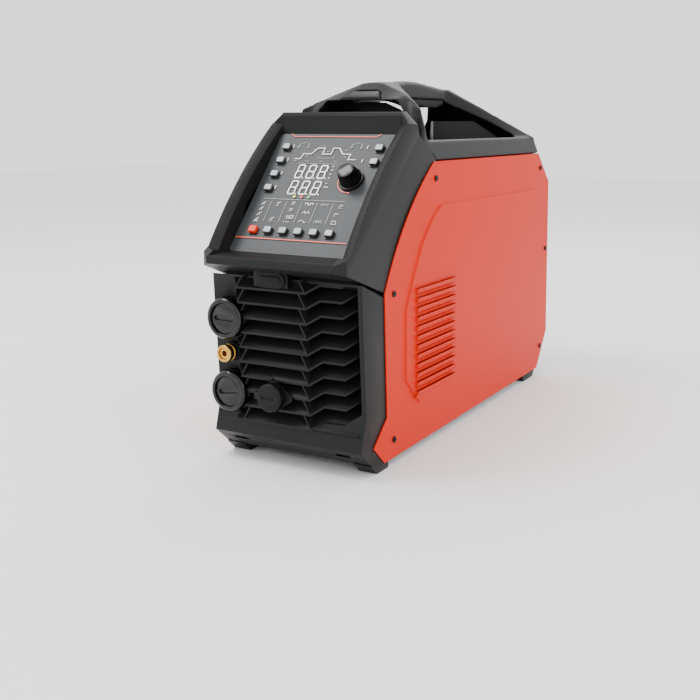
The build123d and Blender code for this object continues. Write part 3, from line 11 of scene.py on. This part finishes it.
import bmesh
import bpy
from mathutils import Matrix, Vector


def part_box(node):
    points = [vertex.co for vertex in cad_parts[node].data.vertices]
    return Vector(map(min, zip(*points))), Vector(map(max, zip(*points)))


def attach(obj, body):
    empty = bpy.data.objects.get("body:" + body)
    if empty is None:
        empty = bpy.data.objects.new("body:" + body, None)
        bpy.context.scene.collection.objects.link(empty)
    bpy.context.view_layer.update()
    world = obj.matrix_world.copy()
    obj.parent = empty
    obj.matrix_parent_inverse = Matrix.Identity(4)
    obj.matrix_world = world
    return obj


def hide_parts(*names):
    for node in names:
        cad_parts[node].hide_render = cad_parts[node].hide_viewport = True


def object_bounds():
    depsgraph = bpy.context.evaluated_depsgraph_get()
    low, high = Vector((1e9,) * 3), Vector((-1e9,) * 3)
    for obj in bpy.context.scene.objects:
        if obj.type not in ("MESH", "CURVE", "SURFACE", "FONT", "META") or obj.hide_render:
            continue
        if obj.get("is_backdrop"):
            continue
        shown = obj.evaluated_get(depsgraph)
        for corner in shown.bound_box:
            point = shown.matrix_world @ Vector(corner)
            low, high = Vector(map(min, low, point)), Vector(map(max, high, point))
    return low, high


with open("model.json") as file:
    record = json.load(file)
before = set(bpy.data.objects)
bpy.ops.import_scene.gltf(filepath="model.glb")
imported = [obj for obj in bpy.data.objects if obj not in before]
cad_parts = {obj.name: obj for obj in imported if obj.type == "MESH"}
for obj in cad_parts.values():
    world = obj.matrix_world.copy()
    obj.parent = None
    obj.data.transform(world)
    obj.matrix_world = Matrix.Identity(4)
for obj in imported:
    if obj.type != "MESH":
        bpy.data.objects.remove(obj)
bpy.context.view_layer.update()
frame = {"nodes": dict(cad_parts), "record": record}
MM = 0.001


# ---------------------------------------------------------------- studio
# Pale seamless floor, soft boxes over the front left, along the right side and behind, and a
# bright room, as for a catalogue shot of a dark and orange machine.
def linear(code, alpha=1.0):
    """Linear colour of an sRGB hex code."""
    parts = [int(code[i:i + 2], 16) / 255 for i in (1, 3, 5)]
    return [c / 12.92 if c <= 0.04045 else ((c + 0.055) / 1.055) ** 2.4 for c in parts] + [alpha]


def add_node(tree, kind, values=(), links=(), **settings):
    """One node with its settings, its inputs' values and the sockets that feed it."""
    made = tree.nodes.new(kind)
    for name, value in settings.items():
        setattr(made, name, value)
    for name, value in dict(values).items():
        made.inputs[name].default_value = value
    for name, source in dict(links).items():
        tree.links.new(source, made.inputs[name])
    return made


def new_material(name):
    """Empty material: its tree, its shader and the Object coordinates."""
    material = bpy.data.materials.new(name)
    material.use_nodes = True
    tree = material.node_tree
    tree.nodes.clear()
    shader = add_node(tree, "ShaderNodeBsdfPrincipled")
    add_node(tree, "ShaderNodeOutputMaterial", links={"Surface": shader.outputs["BSDF"]})
    place = add_node(tree, "ShaderNodeTexCoord")
    return material, tree, shader, place.outputs["Object"]


FLOOR_SIZE = 14.0
floor_material, tree, shader, place = new_material("studio_vinyl_sheet")
shader.inputs["Base Color"].default_value = linear("#F4F4F4")
shader.inputs["Roughness"].default_value = 0.75
bpy.ops.mesh.primitive_plane_add(size=FLOOR_SIZE)
floor = bpy.context.object
floor.name = "studio_floor"
floor.data.materials.append(floor_material)
floor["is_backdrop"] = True

# The camera stands to the right of the controls and looks a little down on them.
SENSOR_MM, LENS_MM = 36.0, 51.12
SHIFT_ACROSS, SHIFT_UP = -0.0514, -0.13
CAMERA_PLACE = (0.739, -1.4225, 0.465)
CAMERA_TURN, CAMERA_DROP = 28.52, 7.77
camera_data = bpy.data.cameras.new("camera")
camera_data.sensor_width = SENSOR_MM
camera_data.lens = LENS_MM
camera_data.shift_x, camera_data.shift_y = SHIFT_ACROSS, SHIFT_UP
camera = bpy.data.objects.new("camera", camera_data)
camera.location = CAMERA_PLACE
camera.rotation_euler = (math.radians(90 - CAMERA_DROP), 0.0, math.radians(CAMERA_TURN))
bpy.context.scene.collection.objects.link(camera)
bpy.context.scene.camera = camera

SOFT_BOXES = {
    # name: (place, aimed at, width, height, watts)
    "key_soft_box": ((-1.2, -0.9, 2.6), (0.0, -0.1, 0.25), 1.2, 1.2, 52.0),
    "side_soft_box": ((2.6, -0.9, 1.5), (0.0, 0.1, 0.2), 1.4, 1.8, 26.0),
    "back_soft_box": ((-0.4, 2.4, 2.2), (0.0, 0.1, 0.3), 2.0, 1.2, 24.0),
}
for name, (spot, target, width, height, watts) in SOFT_BOXES.items():
    lamp = bpy.data.lights.new(name, "AREA")
    lamp.shape, lamp.size, lamp.size_y, lamp.energy = "RECTANGLE", width, height, watts
    box = bpy.data.objects.new(name, lamp)
    box.location = spot
    box.rotation_mode = "QUATERNION"
    box.rotation_quaternion = (Vector(target) - Vector(spot)).to_track_quat("-Z", "Y")
    bpy.context.scene.collection.objects.link(box)

ROOM_STRENGTH = 1.7
world = bpy.data.worlds.new("studio_room")
world.use_nodes = True
room = world.node_tree.nodes["Background"]
room.inputs["Color"].default_value = linear("#FFFFFF")
room.inputs["Strength"].default_value = ROOM_STRENGTH
bpy.context.scene.world = world


# ---------------------------------------------------------------- base, rear panel and feet
# Zinc-plated tray, a moulded rear panel with its fan guard, gland, gas tail, earth stud and
# isolator switch, and two rear feet moulded in the same glass-filled plastic as the front.
def moulded_plastic(name, colour, roughness, grain_mm, depth_mm, mottle=0.12, specular=0.2):
    """Moulded plastic with a spark-eroded grain: bump, and a slow drift of tone and gloss."""
    material, tree, shader, place = new_material(name)
    shader.inputs["Specular IOR Level"].default_value = specular
    grain = add_node(tree, "ShaderNodeTexNoise",
                     {"Scale": 1.0 / (grain_mm * MM), "Detail": 3.0, "Roughness": 0.6},
                     {"Vector": place})
    drift = add_node(tree, "ShaderNodeTexNoise", {"Scale": 9.0, "Detail": 2.0}, {"Vector": place})
    tone = add_node(tree, "ShaderNodeMix", {"B": linear(colour)}, data_type="RGBA")
    base = linear(colour)
    tone.inputs["A"].default_value = [c * (1 - mottle) for c in base[:3]] + [1.0]
    tree.links.new(drift.outputs["Fac"], tone.inputs["Factor"])
    tree.links.new(tone.outputs["Result"], shader.inputs["Base Color"])
    gloss = add_node(tree, "ShaderNodeMapRange",
                     {"To Min": roughness - 0.05, "To Max": roughness + 0.06},
                     {"Value": grain.outputs["Fac"]})
    tree.links.new(gloss.outputs["Result"], shader.inputs["Roughness"])
    bump = add_node(tree, "ShaderNodeBump", {"Strength": 0.5, "Distance": depth_mm * MM},
                    {"Height": grain.outputs["Fac"]})
    tree.links.new(bump.outputs["Normal"], shader.inputs["Normal"])
    return material


def metal(name, colour, roughness, stretch, scratch_mm):
    """Bare metal with fine machining lines; stretch makes the lines long in one direction."""
    material, tree, shader, place = new_material(name)
    aim = add_node(tree, "ShaderNodeMapping", {"Scale": stretch}, {"Vector": place})
    lines = add_node(tree, "ShaderNodeTexNoise", {"Scale": 1.0 / (scratch_mm * MM), "Detail": 2.0},
                     {"Vector": aim.outputs["Vector"]})
    gloss = add_node(tree, "ShaderNodeMapRange",
                     {"To Min": roughness - 0.08, "To Max": roughness + 0.1},
                     {"Value": lines.outputs["Fac"]})
    bump = add_node(tree, "ShaderNodeBump", {"Strength": 0.25, "Distance": 0.05 * MM},
                    {"Height": lines.outputs["Fac"]})
    shader.inputs["Base Color"].default_value = linear(colour)
    shader.inputs["Metallic"].default_value = 1.0
    tree.links.new(gloss.outputs["Result"], shader.inputs["Roughness"])
    tree.links.new(bump.outputs["Normal"], shader.inputs["Normal"])
    return material


# Nylon with a medium spark grain, drawn coarse so that it shows from the camera.
dark_nylon = moulded_plastic("moulded_dark_nylon", "#151616", 0.46, 1.4, 0.10)
black_nylon = moulded_plastic("moulded_black_nylon", "#080808", 0.5, 1.4, 0.10)
gloss_abs = moulded_plastic("polished_black_abs", "#060606", 0.16, 6.0, 0.02, mottle=0.05,
                            specular=0.4)
zinc_sheet = metal("zinc_plated_sheet", "#B9BCBC", 0.38, (1.0, 0.08, 1.0), 0.9)
turned_brass = metal("turned_brass", "#C79A4B", 0.24, (1.0, 0.15, 1.0), 0.5)
black_oxide = metal("black_oxide_steel", "#2A2A2C", 0.42, (1.0, 1.0, 1.0), 0.5)


BODY = {node: body for body, nodes in frame["record"]["behaviour"]["bodies"].items()
        for node in nodes}
SAME_POINT = 2e-5
SAME_PLANE = math.radians(0.6)
SHARP_EDGE = math.radians(28.0)


def finished_copy(node, material, name=None, join_flat=True):
    """A copy of one CAD node with its doubles merged, in the node's place."""
    mesh = frame["nodes"][node].data.copy()
    mesh.materials.clear()
    mesh.materials.append(material)
    shell = bmesh.new()
    shell.from_mesh(mesh)
    bmesh.ops.remove_doubles(shell, verts=shell.verts, dist=SAME_POINT)
    if join_flat:
        bmesh.ops.dissolve_limit(shell, angle_limit=SAME_PLANE, verts=shell.verts,
                                 edges=shell.edges, use_dissolve_boundaries=False)
    bmesh.ops.recalc_face_normals(shell, faces=shell.faces)
    for face in shell.faces:
        face.smooth = True
        face.material_index = 0
    shell.to_mesh(mesh)
    shell.free()
    piece = bpy.data.objects.new(name or node + "_finish", mesh)
    bpy.context.scene.collection.objects.link(piece)
    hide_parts(node)
    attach(piece, BODY[node])
    return piece


def edge_rounded(node, width_mm, material, segments=2, join_flat=True):
    """A finished copy of one CAD node with its sharp edges rounded."""
    bevel = finished_copy(node, material, join_flat=join_flat).modifiers.new("edges", "BEVEL")
    bevel.width = width_mm * MM
    bevel.segments = segments
    bevel.limit_method = "ANGLE"
    bevel.angle_limit = SHARP_EDGE
    bevel.harden_normals = True
    bevel.miter_outer = "MITER_ARC"


def dress(nodes, material):
    """CAD nodes whose shape is right keep it and take this finish."""
    for node in nodes:
        mesh = frame["nodes"][node].data
        mesh.materials.clear()
        mesh.materials.append(material)


dress(["base_tray", "earth_stud", "inner_chassis"], zinc_sheet)
dress(["gas_inlet"], turned_brass)
dress(["case_screws"], black_oxide)
dress(["fan_housing", "fan_rotor", "mains_gland"], black_nylon)
edge_rounded("rear_panel", 1.0, dark_nylon)
edge_rounded("rear_feet", 1.2, dark_nylon)
edge_rounded("rear_grille", 0.6, black_nylon)
edge_rounded("mains_switch_body", 0.8, black_nylon)
edge_rounded("mains_switch_knob", 1.2, gloss_abs)


# ---------------------------------------------------------------- power unit inside
# Chassis, heatsinks, boards, capacitors, wound parts and the gas line, seen only through slots.
circuit_board = moulded_plastic("solder_masked_board", "#1C5A38", 0.35, 3.0, 0.05)
shrink_sleeve = moulded_plastic("capacitor_shrink_sleeve", "#141418", 0.3, 5.0, 0.04)
ferrite = moulded_plastic("varnished_core", "#2B2724", 0.55, 1.2, 0.15)
extruded_alloy = metal("extruded_aluminium", "#C5C7C9", 0.36, (1.0, 0.06, 1.0), 0.8)
copper_bar = metal("copper_bar", "#C4815A", 0.3, (1.0, 0.2, 1.0), 0.8)
hose_rubber = moulded_plastic("extruded_hose_rubber", "#101010", 0.6, 1.5, 0.08)
dress(["control_board", "power_board"], circuit_board)
dress(["capacitor_bank"], shrink_sleeve)
dress(["main_transformer", "output_reactor", "hf_unit"], ferrite)
dress(["heatsinks", "encoder_body"], extruded_alloy)
dress(["busbars"], copper_bar)
dress(["gas_valve"], turned_brass)
dress(["gas_hoses"], hose_rubber)


# ---------------------------------------------------------------- lower front panel
# One deep moulding: inclined air blades that step forward in the middle, slanting ribs
# between them, bosses for the sockets, and the two front feet.
edge_rounded("lower_front_panel", 0.9, dark_nylon)


# ---------------------------------------------------------------- sockets and gas outlet
# Two bayonet output sockets in black rings with slotted dust plugs, a brass gas coupling
# between them, the capped control socket, and an oval blanking cover under the chin.
for place_name in ("top", "bottom"):
    edge_rounded(f"socket_ring_{place_name}", 0.8, gloss_abs)
    edge_rounded(f"socket_plug_{place_name}", 0.8, gloss_abs)
    dress([f"output_socket_{place_name}"], turned_brass)
edge_rounded("gas_outlet_flange", 0.5, black_nylon)
edge_rounded("gas_outlet_body", 0.4, turned_brass)
edge_rounded("gas_outlet_collar", 0.5, turned_brass)
edge_rounded("control_socket", 0.8, black_nylon)
edge_rounded("control_socket_cap", 1.0, black_nylon)
edge_rounded("port_cover", 0.6, black_nylon)


# ---------------------------------------------------------------- side covers
# Folded steel sheet with a raised field and pressed louvres, powder coated in one orange.
# Powder coat flows to a faint orange peel about 2 mm across under a satin skin.
powder_coat, tree, shader, place = new_material("orange_powder_coat_steel")
PEEL_MM = 2.2
peel = add_node(tree, "ShaderNodeTexNoise", {"Scale": 1.0 / (PEEL_MM * MM), "Detail": 1.5},
                {"Vector": place})
drift = add_node(tree, "ShaderNodeTexNoise", {"Scale": 5.0, "Detail": 2.0}, {"Vector": place})
tone = add_node(tree, "ShaderNodeMix", {"A": linear("#C41B00"), "B": linear("#C81E00")},
                {"Factor": drift.outputs["Fac"]}, data_type="RGBA")
bump = add_node(tree, "ShaderNodeBump", {"Strength": 0.35, "Distance": 0.06 * MM},
                {"Height": peel.outputs["Fac"]})
tree.links.new(tone.outputs["Result"], shader.inputs["Base Color"])
tree.links.new(bump.outputs["Normal"], shader.inputs["Normal"])
shader.inputs["Roughness"].default_value = 0.42
shader.inputs["Specular IOR Level"].default_value = 0.1
dress(["right_cover", "left_cover"], powder_coat)


# ---------------------------------------------------------------- control head
# The bezel is one moulding with a raised arched rim round the sloping control panel.
edge_rounded("control_bezel", 1.6, dark_nylon, segments=3)


# ---------------------------------------------------------------- control panel
# Screen-printed polyester film over the head's floor, silver-painted keys on black prints set a
# little low, partly the keys' dark surrounds and partly painted shade round and under them, a
# fluted knob, and LED digits behind the film. The lettering of the real panel is left out.
printed_film = moulded_plastic("printed_polyester_film", "#3E4042", 0.38, 1.6, 0.02, mottle=0.04)
silver_key = metal("silver_painted_keycap", "#6C6E70", 0.34, (1.0, 1.0, 1.0), 1.5)
red_key = moulded_plastic("backlit_red_keycap", "#E8300E", 0.25, 1.5, 0.02, mottle=0.05)
dress(["control_overlay", "display_module", "indicator_lamps"], printed_film)
edge_rounded("encoder_knob", 0.4, gloss_abs, join_flat=False)
for node in BODY:
    if node.startswith("button_"):
        edge_rounded(node, 0.6, red_key if node == "button_bottom_1" else silver_key)


def flat_ink(name, colour, glow=0.0):
    """Opaque screen ink, or a lit LED segment when it glows."""
    material, tree, shader, place = new_material(name)
    shader.inputs["Base Color"].default_value = linear(colour)
    shader.inputs["Roughness"].default_value = 0.4
    shader.inputs["Emission Color"].default_value = linear(colour)
    shader.inputs["Emission Strength"].default_value = glow
    return material


# The black ink is only used round the keys, where it is partly their dark surround and partly
# painted shade.
WHITE, GREY, ORANGE, BLACK, LIT, YELLOW, RED, GREEN = range(8)
INKS = [flat_ink("white_screen_ink", "#D8D8D8"), flat_ink("grey_screen_ink", "#9A9C9E"),
        flat_ink("orange_screen_ink", "#E2532F"), flat_ink("black_surround_and_shade_ink", "#0B0B0B"),
        flat_ink("lit_white_segment", "#F2F2F0", 0.5), flat_ink("lit_yellow_led", "#E3D93A", 0.4),
        flat_ink("glowing_red_ink", "#E5484C", 0.4), flat_ink("lit_green_led", "#6CC05A", 0.4)]
low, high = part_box("control_overlay")
PANEL_TILT = math.radians(49.7)
ALONG = Vector((0.0, math.cos(PANEL_TILT), math.sin(PANEL_TILT)))
OUT = Vector((0.0, -math.sin(PANEL_TILT), math.cos(PANEL_TILT)))
FILM_THICKNESS = 2.0
PANEL_FOOT = Vector((0.0, low[1], low[2])) + OUT * FILM_THICKNESS * MM
PRINT_LIFT, SURROUND_LIFT, LAMP_LIFT = 0.06, 0.04, 0.5
SPOT_SIDES = 24
art = bmesh.new()


def print_face(points, ink, lift_mm=PRINT_LIFT):
    """One printed area from (across, up) points in millimetres, seen from in front."""
    area = sum(a[0] * b[1] - b[0] * a[1] for a, b in zip(points, points[1:] + points[:1]))
    if area < 0:
        points = points[::-1]
    verts = [art.verts.new(PANEL_FOOT + Vector((x * MM, 0, 0)) + ALONG * up * MM
                           + OUT * lift_mm * MM) for x, up in points]
    art.faces.new(verts).material_index = ink


def print_line(points, width, ink, closed=False):
    """Printed line of even width along (across, up) points, with mitred corners."""
    count = len(points)
    sides = ([], [])
    for i, (x, y) in enumerate(points):
        before = points[i - 1] if i or closed else None
        after = points[(i + 1) % count] if i < count - 1 or closed else None
        ways = []
        for a, b in ((before, (x, y)), ((x, y), after)):
            if a and b:
                length = math.hypot(b[0] - a[0], b[1] - a[1])
                ways.append((-(b[1] - a[1]) / length, (b[0] - a[0]) / length))
        mid = (sum(w[0] for w in ways), sum(w[1] for w in ways))
        size = math.hypot(*mid)
        mid = (mid[0] / size, mid[1] / size)
        reach = width / 2 / max(0.35, mid[0] * ways[0][0] + mid[1] * ways[0][1])
        for side, sign in zip(sides, (1, -1)):
            side.append((x + mid[0] * reach * sign, y + mid[1] * reach * sign))
    for i in range(count if closed else count - 1):
        j = (i + 1) % count
        print_face([sides[0][i], sides[0][j], sides[1][j], sides[1][i]], ink)


def print_spot(x, up, across, ink, lift_mm=PRINT_LIFT):
    """Printed disc."""
    turns = [math.tau * i / SPOT_SIDES for i in range(SPOT_SIDES)]
    print_face([(x + across / 2 * math.cos(t), up + across / 2 * math.sin(t)) for t in turns],
               ink, lift_mm)


def print_wave(x, up, heights, step):
    """Small waveform: a line through evenly spaced heights, centred on a place."""
    start = x - step * (len(heights) - 1) / 2
    print_line([(start + i * step, up + h) for i, h in enumerate(heights)], 0.9, WHITE)


def weld_cycle():
    """Diagram of one weld: gas, start, up slope, peak, base, down slope and crater."""
    print_line([(-56, 161.3), (-46, 161.3), (-44, 170.5), (-31, 170.5), (-23, 181), (-12, 181),
                (-12.6, 170.3), (1.6, 170.3), (2, 181), (12, 181), (21, 170.5), (33.6, 170.5),
                (32.5, 161.3), (44.6, 161.3)], 1.7, WHITE)
    for x, up in ((-53, 157.5), (-33, 157.5), (-10, 157.5), (14, 157.5), (-37, 166), (-28, 178),
                  (-16, 185), (24, 178), (26, 166), (-5, 175)):
        print_line([(x - 2.2, up), (x + 2.2, up)], 0.8, GREY)
    print_line([(-18, 168), (-18, 163), (8, 163), (8, 168)], 0.4, GREY)


TOP_KEY_UP, KEY_PITCH = 184.0, 24.6


def key_ticks(x, keys):
    """Short tick beside each key of one column, from the top one down."""
    for row in range(keys):
        up = TOP_KEY_UP - KEY_PITCH * row
        print_line([(x, up - 3), (x, up + 3)], 1.5, WHITE)


def trigger_sketch(x):
    """Torch trigger pressed and released, drawn as two bent strokes under a bar."""
    print_line([(x - 9, 183), (x - 7, 188), (x - 4, 189.5)], 0.8, GREY)
    print_line([(x - 2, 190.5), (x + 2, 190.5)], 0.8, GREY)
    print_line([(x + 5, 189.5), (x + 7.5, 188), (x + 8, 183)], 0.8, GREY)
    print_line([(x - 10, 181.5), (x - 6.5, 184)], 1.3, GREY)
    print_line([(x + 6, 181.5), (x + 9, 182.5)], 1.3, GREY)


DIGITS, DIGIT_LEFT, DIGIT_PITCH = 3, -43.2, 18.7
READOUTS = ((127.7, 153.0), (99.6, 125.1))  # foot of the digits, and the rule over them


def lit_digit(x, foot):
    """Seven lit segments and their point; the waist is drawn in from both sides."""
    print_line([(x + 2, foot), (x + 9.5, foot), (x + 11, foot + 2), (x + 11, foot + 9.5),
                (x + 9.8, foot + 11.2), (x + 11.6, foot + 13), (x + 11.6, foot + 20.2),
                (x + 9.8, foot + 22.2), (x + 2.6, foot + 22.2), (x + 1.2, foot + 20.4),
                (x + 1.2, foot + 13), (x + 2, foot + 11.2), (x + 0.6, foot + 9.5),
                (x + 0.6, foot + 1.8)], 1.9, LIT, closed=True)
    print_line([(x + 2.6, foot + 11.2), (x + 9.2, foot + 11.2)], 1.8, LIT)
    print_spot(x + 14.0, foot + 0.4, 2.2, LIT)


def readouts():
    """Two rows of digits, the unit marks beside them and the status lamps below."""
    for foot, ruled in READOUTS:
        print_line([(-46, ruled), (20, ruled)], 0.4, GREY)
        for digit in range(DIGITS):
            lit_digit(DIGIT_LEFT + digit * DIGIT_PITCH, foot)
    for row in range(4):
        print_line([(13, 148.8 - row * 6.6), (15.6, 148.8 - row * 6.6)], 1.5, WHITE)
    print_line([(12.5, 119.5), (15, 119.5)], 1.3, WHITE)
    print_line([(12, 113), (19, 113)], 1.3, WHITE)
    for x, ink in ((-28.5, YELLOW), (-16.8, RED), (-5.1, GREEN)):
        print_spot(x, 95, 4.4, ink, lift_mm=LAMP_LIFT)


TABLE_LEFT, TABLE_RIGHT, TABLE_TOP = -78, 55.3, 90.0
DIVIDERS, FIRST_DIVIDER, DIVIDER_PITCH = 5, -62.0, 25.1


def mode_table():
    """Table of weld modes: a rule, dividers and a small pictogram for each choice."""
    print_line([(TABLE_LEFT, TABLE_TOP), (TABLE_RIGHT, TABLE_TOP)], 0.6, GREY)
    for column in range(DIVIDERS):
        x = FIRST_DIVIDER + column * DIVIDER_PITCH
        print_line([(x, 52), (x, 86.5)], 0.6, GREY)
    # remote controls
    for row in range(4):
        up = 83 - row * 9
        print_line([(-77, up - 4), (-74, up), (-71, up + 1.5)], 1.0, WHITE)
        print_line([(-74, up), (-72.4, up - 3.4)], 0.8, WHITE)
    print_line([(TABLE_LEFT, 51.5), (-71, 51.5)], 1.2, WHITE)
    # torch over the work
    for up in (82, 56):
        print_line([(-53, up - 3.5), (-47, up - 3.5)], 0.8, GREY)
        print_line([(-52, up - 1), (-49.5, up + 1.5), (-46.5, up + 3)], 1.1, WHITE)
        print_line([(-49.5, up + 1.5), (-48.5, up - 1)], 0.9, WHITE)
    # trigger modes
    for up in (84, 73, 60.7):
        for x in (-26.5, -23.5):
            print_line([(x, up - 2.6), (x, up + 2.6)], 1.0, WHITE)
    print_line([(-21, 58.5), (-16.5, 58.5), (-16.5, 63), (-21, 63)], 1.0, WHITE, closed=True)
    for dot in range(3):
        print_spot(-28 + dot * 3.4, 52.5, 1.6, WHITE)
    # square, triangle and sine wave
    print_line([(-5, 82), (-5, 85), (-1, 85), (-1, 82), (3, 82), (3, 85), (7, 85), (7, 82)],
               1.1, WHITE)
    print_wave(1.2, 69, (-1.8, 2.4, -1.8, 2.4, -1.8), 3.0)
    print_wave(1.2, 54.5, (-1.0, 0.8, 1.8, 0.8, -1.0, -1.9, -1.0), 2.0)
    # pulses
    for tooth in range(4):
        x = 20.5 + tooth * 3.2
        print_line([(x, 81), (x, 84.4), (x + 1.9, 84.4)], 0.8, GREY)
    for tooth in range(3):
        x = 20 + tooth * 4
        print_line([(x, 52.5), (x + 1.2, 57), (x + 2.8, 57), (x + 4, 52.5)], 0.8, GREY)
    # setup and memory
    print_line([(48, 79), (55, 79)], 0.8, GREY)
    print_line([(49, 80.5), (52, 84.5), (54, 82)], 0.9, WHITE)
    print_line([(47, 65), (47, 69.5), (53, 69.5)], 0.9, WHITE)
    print_line([(47.5, 52.5), (47.5, 57.5), (52, 57.5), (54, 55.5), (54, 52.5)], 0.9, WHITE,
               closed=True)


KNOB_ACROSS, KNOB_UP, ARC_RADIUS = 52, 125.4, 20.6


def knob_arc():
    """Arc round the lower left of the knob, ending in a printed dot in the glowing red ink: its
    glow is painted light.
    """
    turns = [math.radians(a) for a in range(175, 276, 10)]
    print_line([(KNOB_ACROSS + ARC_RADIUS * math.cos(t), KNOB_UP + ARC_RADIUS * math.sin(t))
                for t in turns], 1.5, ORANGE)
    # Printed dot in the glowing red ink that also lights the red status lamp: here its glow is
    # painted light.
    print_spot(54.5, 104.6, 2.8, RED)


# Black print round each key, dropped a little down the panel: partly the keys' dark surrounds,
# partly painted shade round and under them.
SURROUND_HALF_WIDTH, SURROUND_HALF_HEIGHT, SURROUND_CORNER, SHADE_DROP = 7.4, 6.6, 2.2, 0.6


def key_surround_and_shade(node):
    """Black print with cut corners round one key, set a little low: partly the key's dark
    surround, partly painted shade round and under it.
    """
    key_low, key_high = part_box(node)
    middle = (Vector(key_low) + Vector(key_high)) / 2 - PANEL_FOOT
    x, up = middle.x / MM, middle.dot(ALONG) / MM - SHADE_DROP
    outline = []
    for sx, sy in ((1, 1), (-1, 1), (-1, -1), (1, -1)):
        ends = [(x + sx * SURROUND_HALF_WIDTH, up + sy * (SURROUND_HALF_HEIGHT - SURROUND_CORNER)),
                (x + sx * (SURROUND_HALF_WIDTH - SURROUND_CORNER), up + sy * SURROUND_HALF_HEIGHT)]
        outline += ends if sx == sy else ends[::-1]
    print_face(outline, BLACK, SURROUND_LIFT)


# rules across the top and above the foot of the panel
print_line([(-79, 206.5), (-72, 202), (62.5, 202), (69.5, 206.5)], 1.4, ORANGE)
print_line([(-96, 23.5), (82, 23.5)], 1.6, ORANGE)
weld_cycle()
key_ticks(-66.6, 4)
key_ticks(56.0, 2)
trigger_sketch(-49)
trigger_sketch(38.5)
readouts()
mode_table()
knob_arc()
for node in BODY:
    if node.startswith("button_"):
        key_surround_and_shade(node)
art_mesh = bpy.data.meshes.new("panel_print")
art.to_mesh(art_mesh)
art.free()
for ink in INKS:
    art_mesh.materials.append(ink)
panel_print = bpy.data.objects.new("panel_print", art_mesh)
bpy.context.scene.collection.objects.link(panel_print)
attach(panel_print, "machine")


# ---------------------------------------------------------------- carrying handle
# Moulded arch on two side rails, with a soft insert under the grip and a black deck below.
# The arch is remeshed evenly and smoothed, so that its legs and rails flow into each other.
SKIN_MM, BLEND_PASSES = 2.6, 10
handle = finished_copy("handle_frame", dark_nylon, name="moulded_handle", join_flat=False)
skin = handle.modifiers.new("even_skin", "REMESH")
skin.mode = "VOXEL"
skin.voxel_size = SKIN_MM * MM
skin.use_smooth_shade = True
flow = handle.modifiers.new("moulded_blends", "SMOOTH")
flow.factor = 0.5
flow.iterations = BLEND_PASSES
edge_rounded("handle_front_cap", 0.8, dark_nylon)
edge_rounded("grip_insert", 1.0, hose_rubber)
edge_rounded("top_deck", 1.0, black_nylon)


# ---------------------------------------------------------------- bounds of the shown scene
low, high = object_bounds()
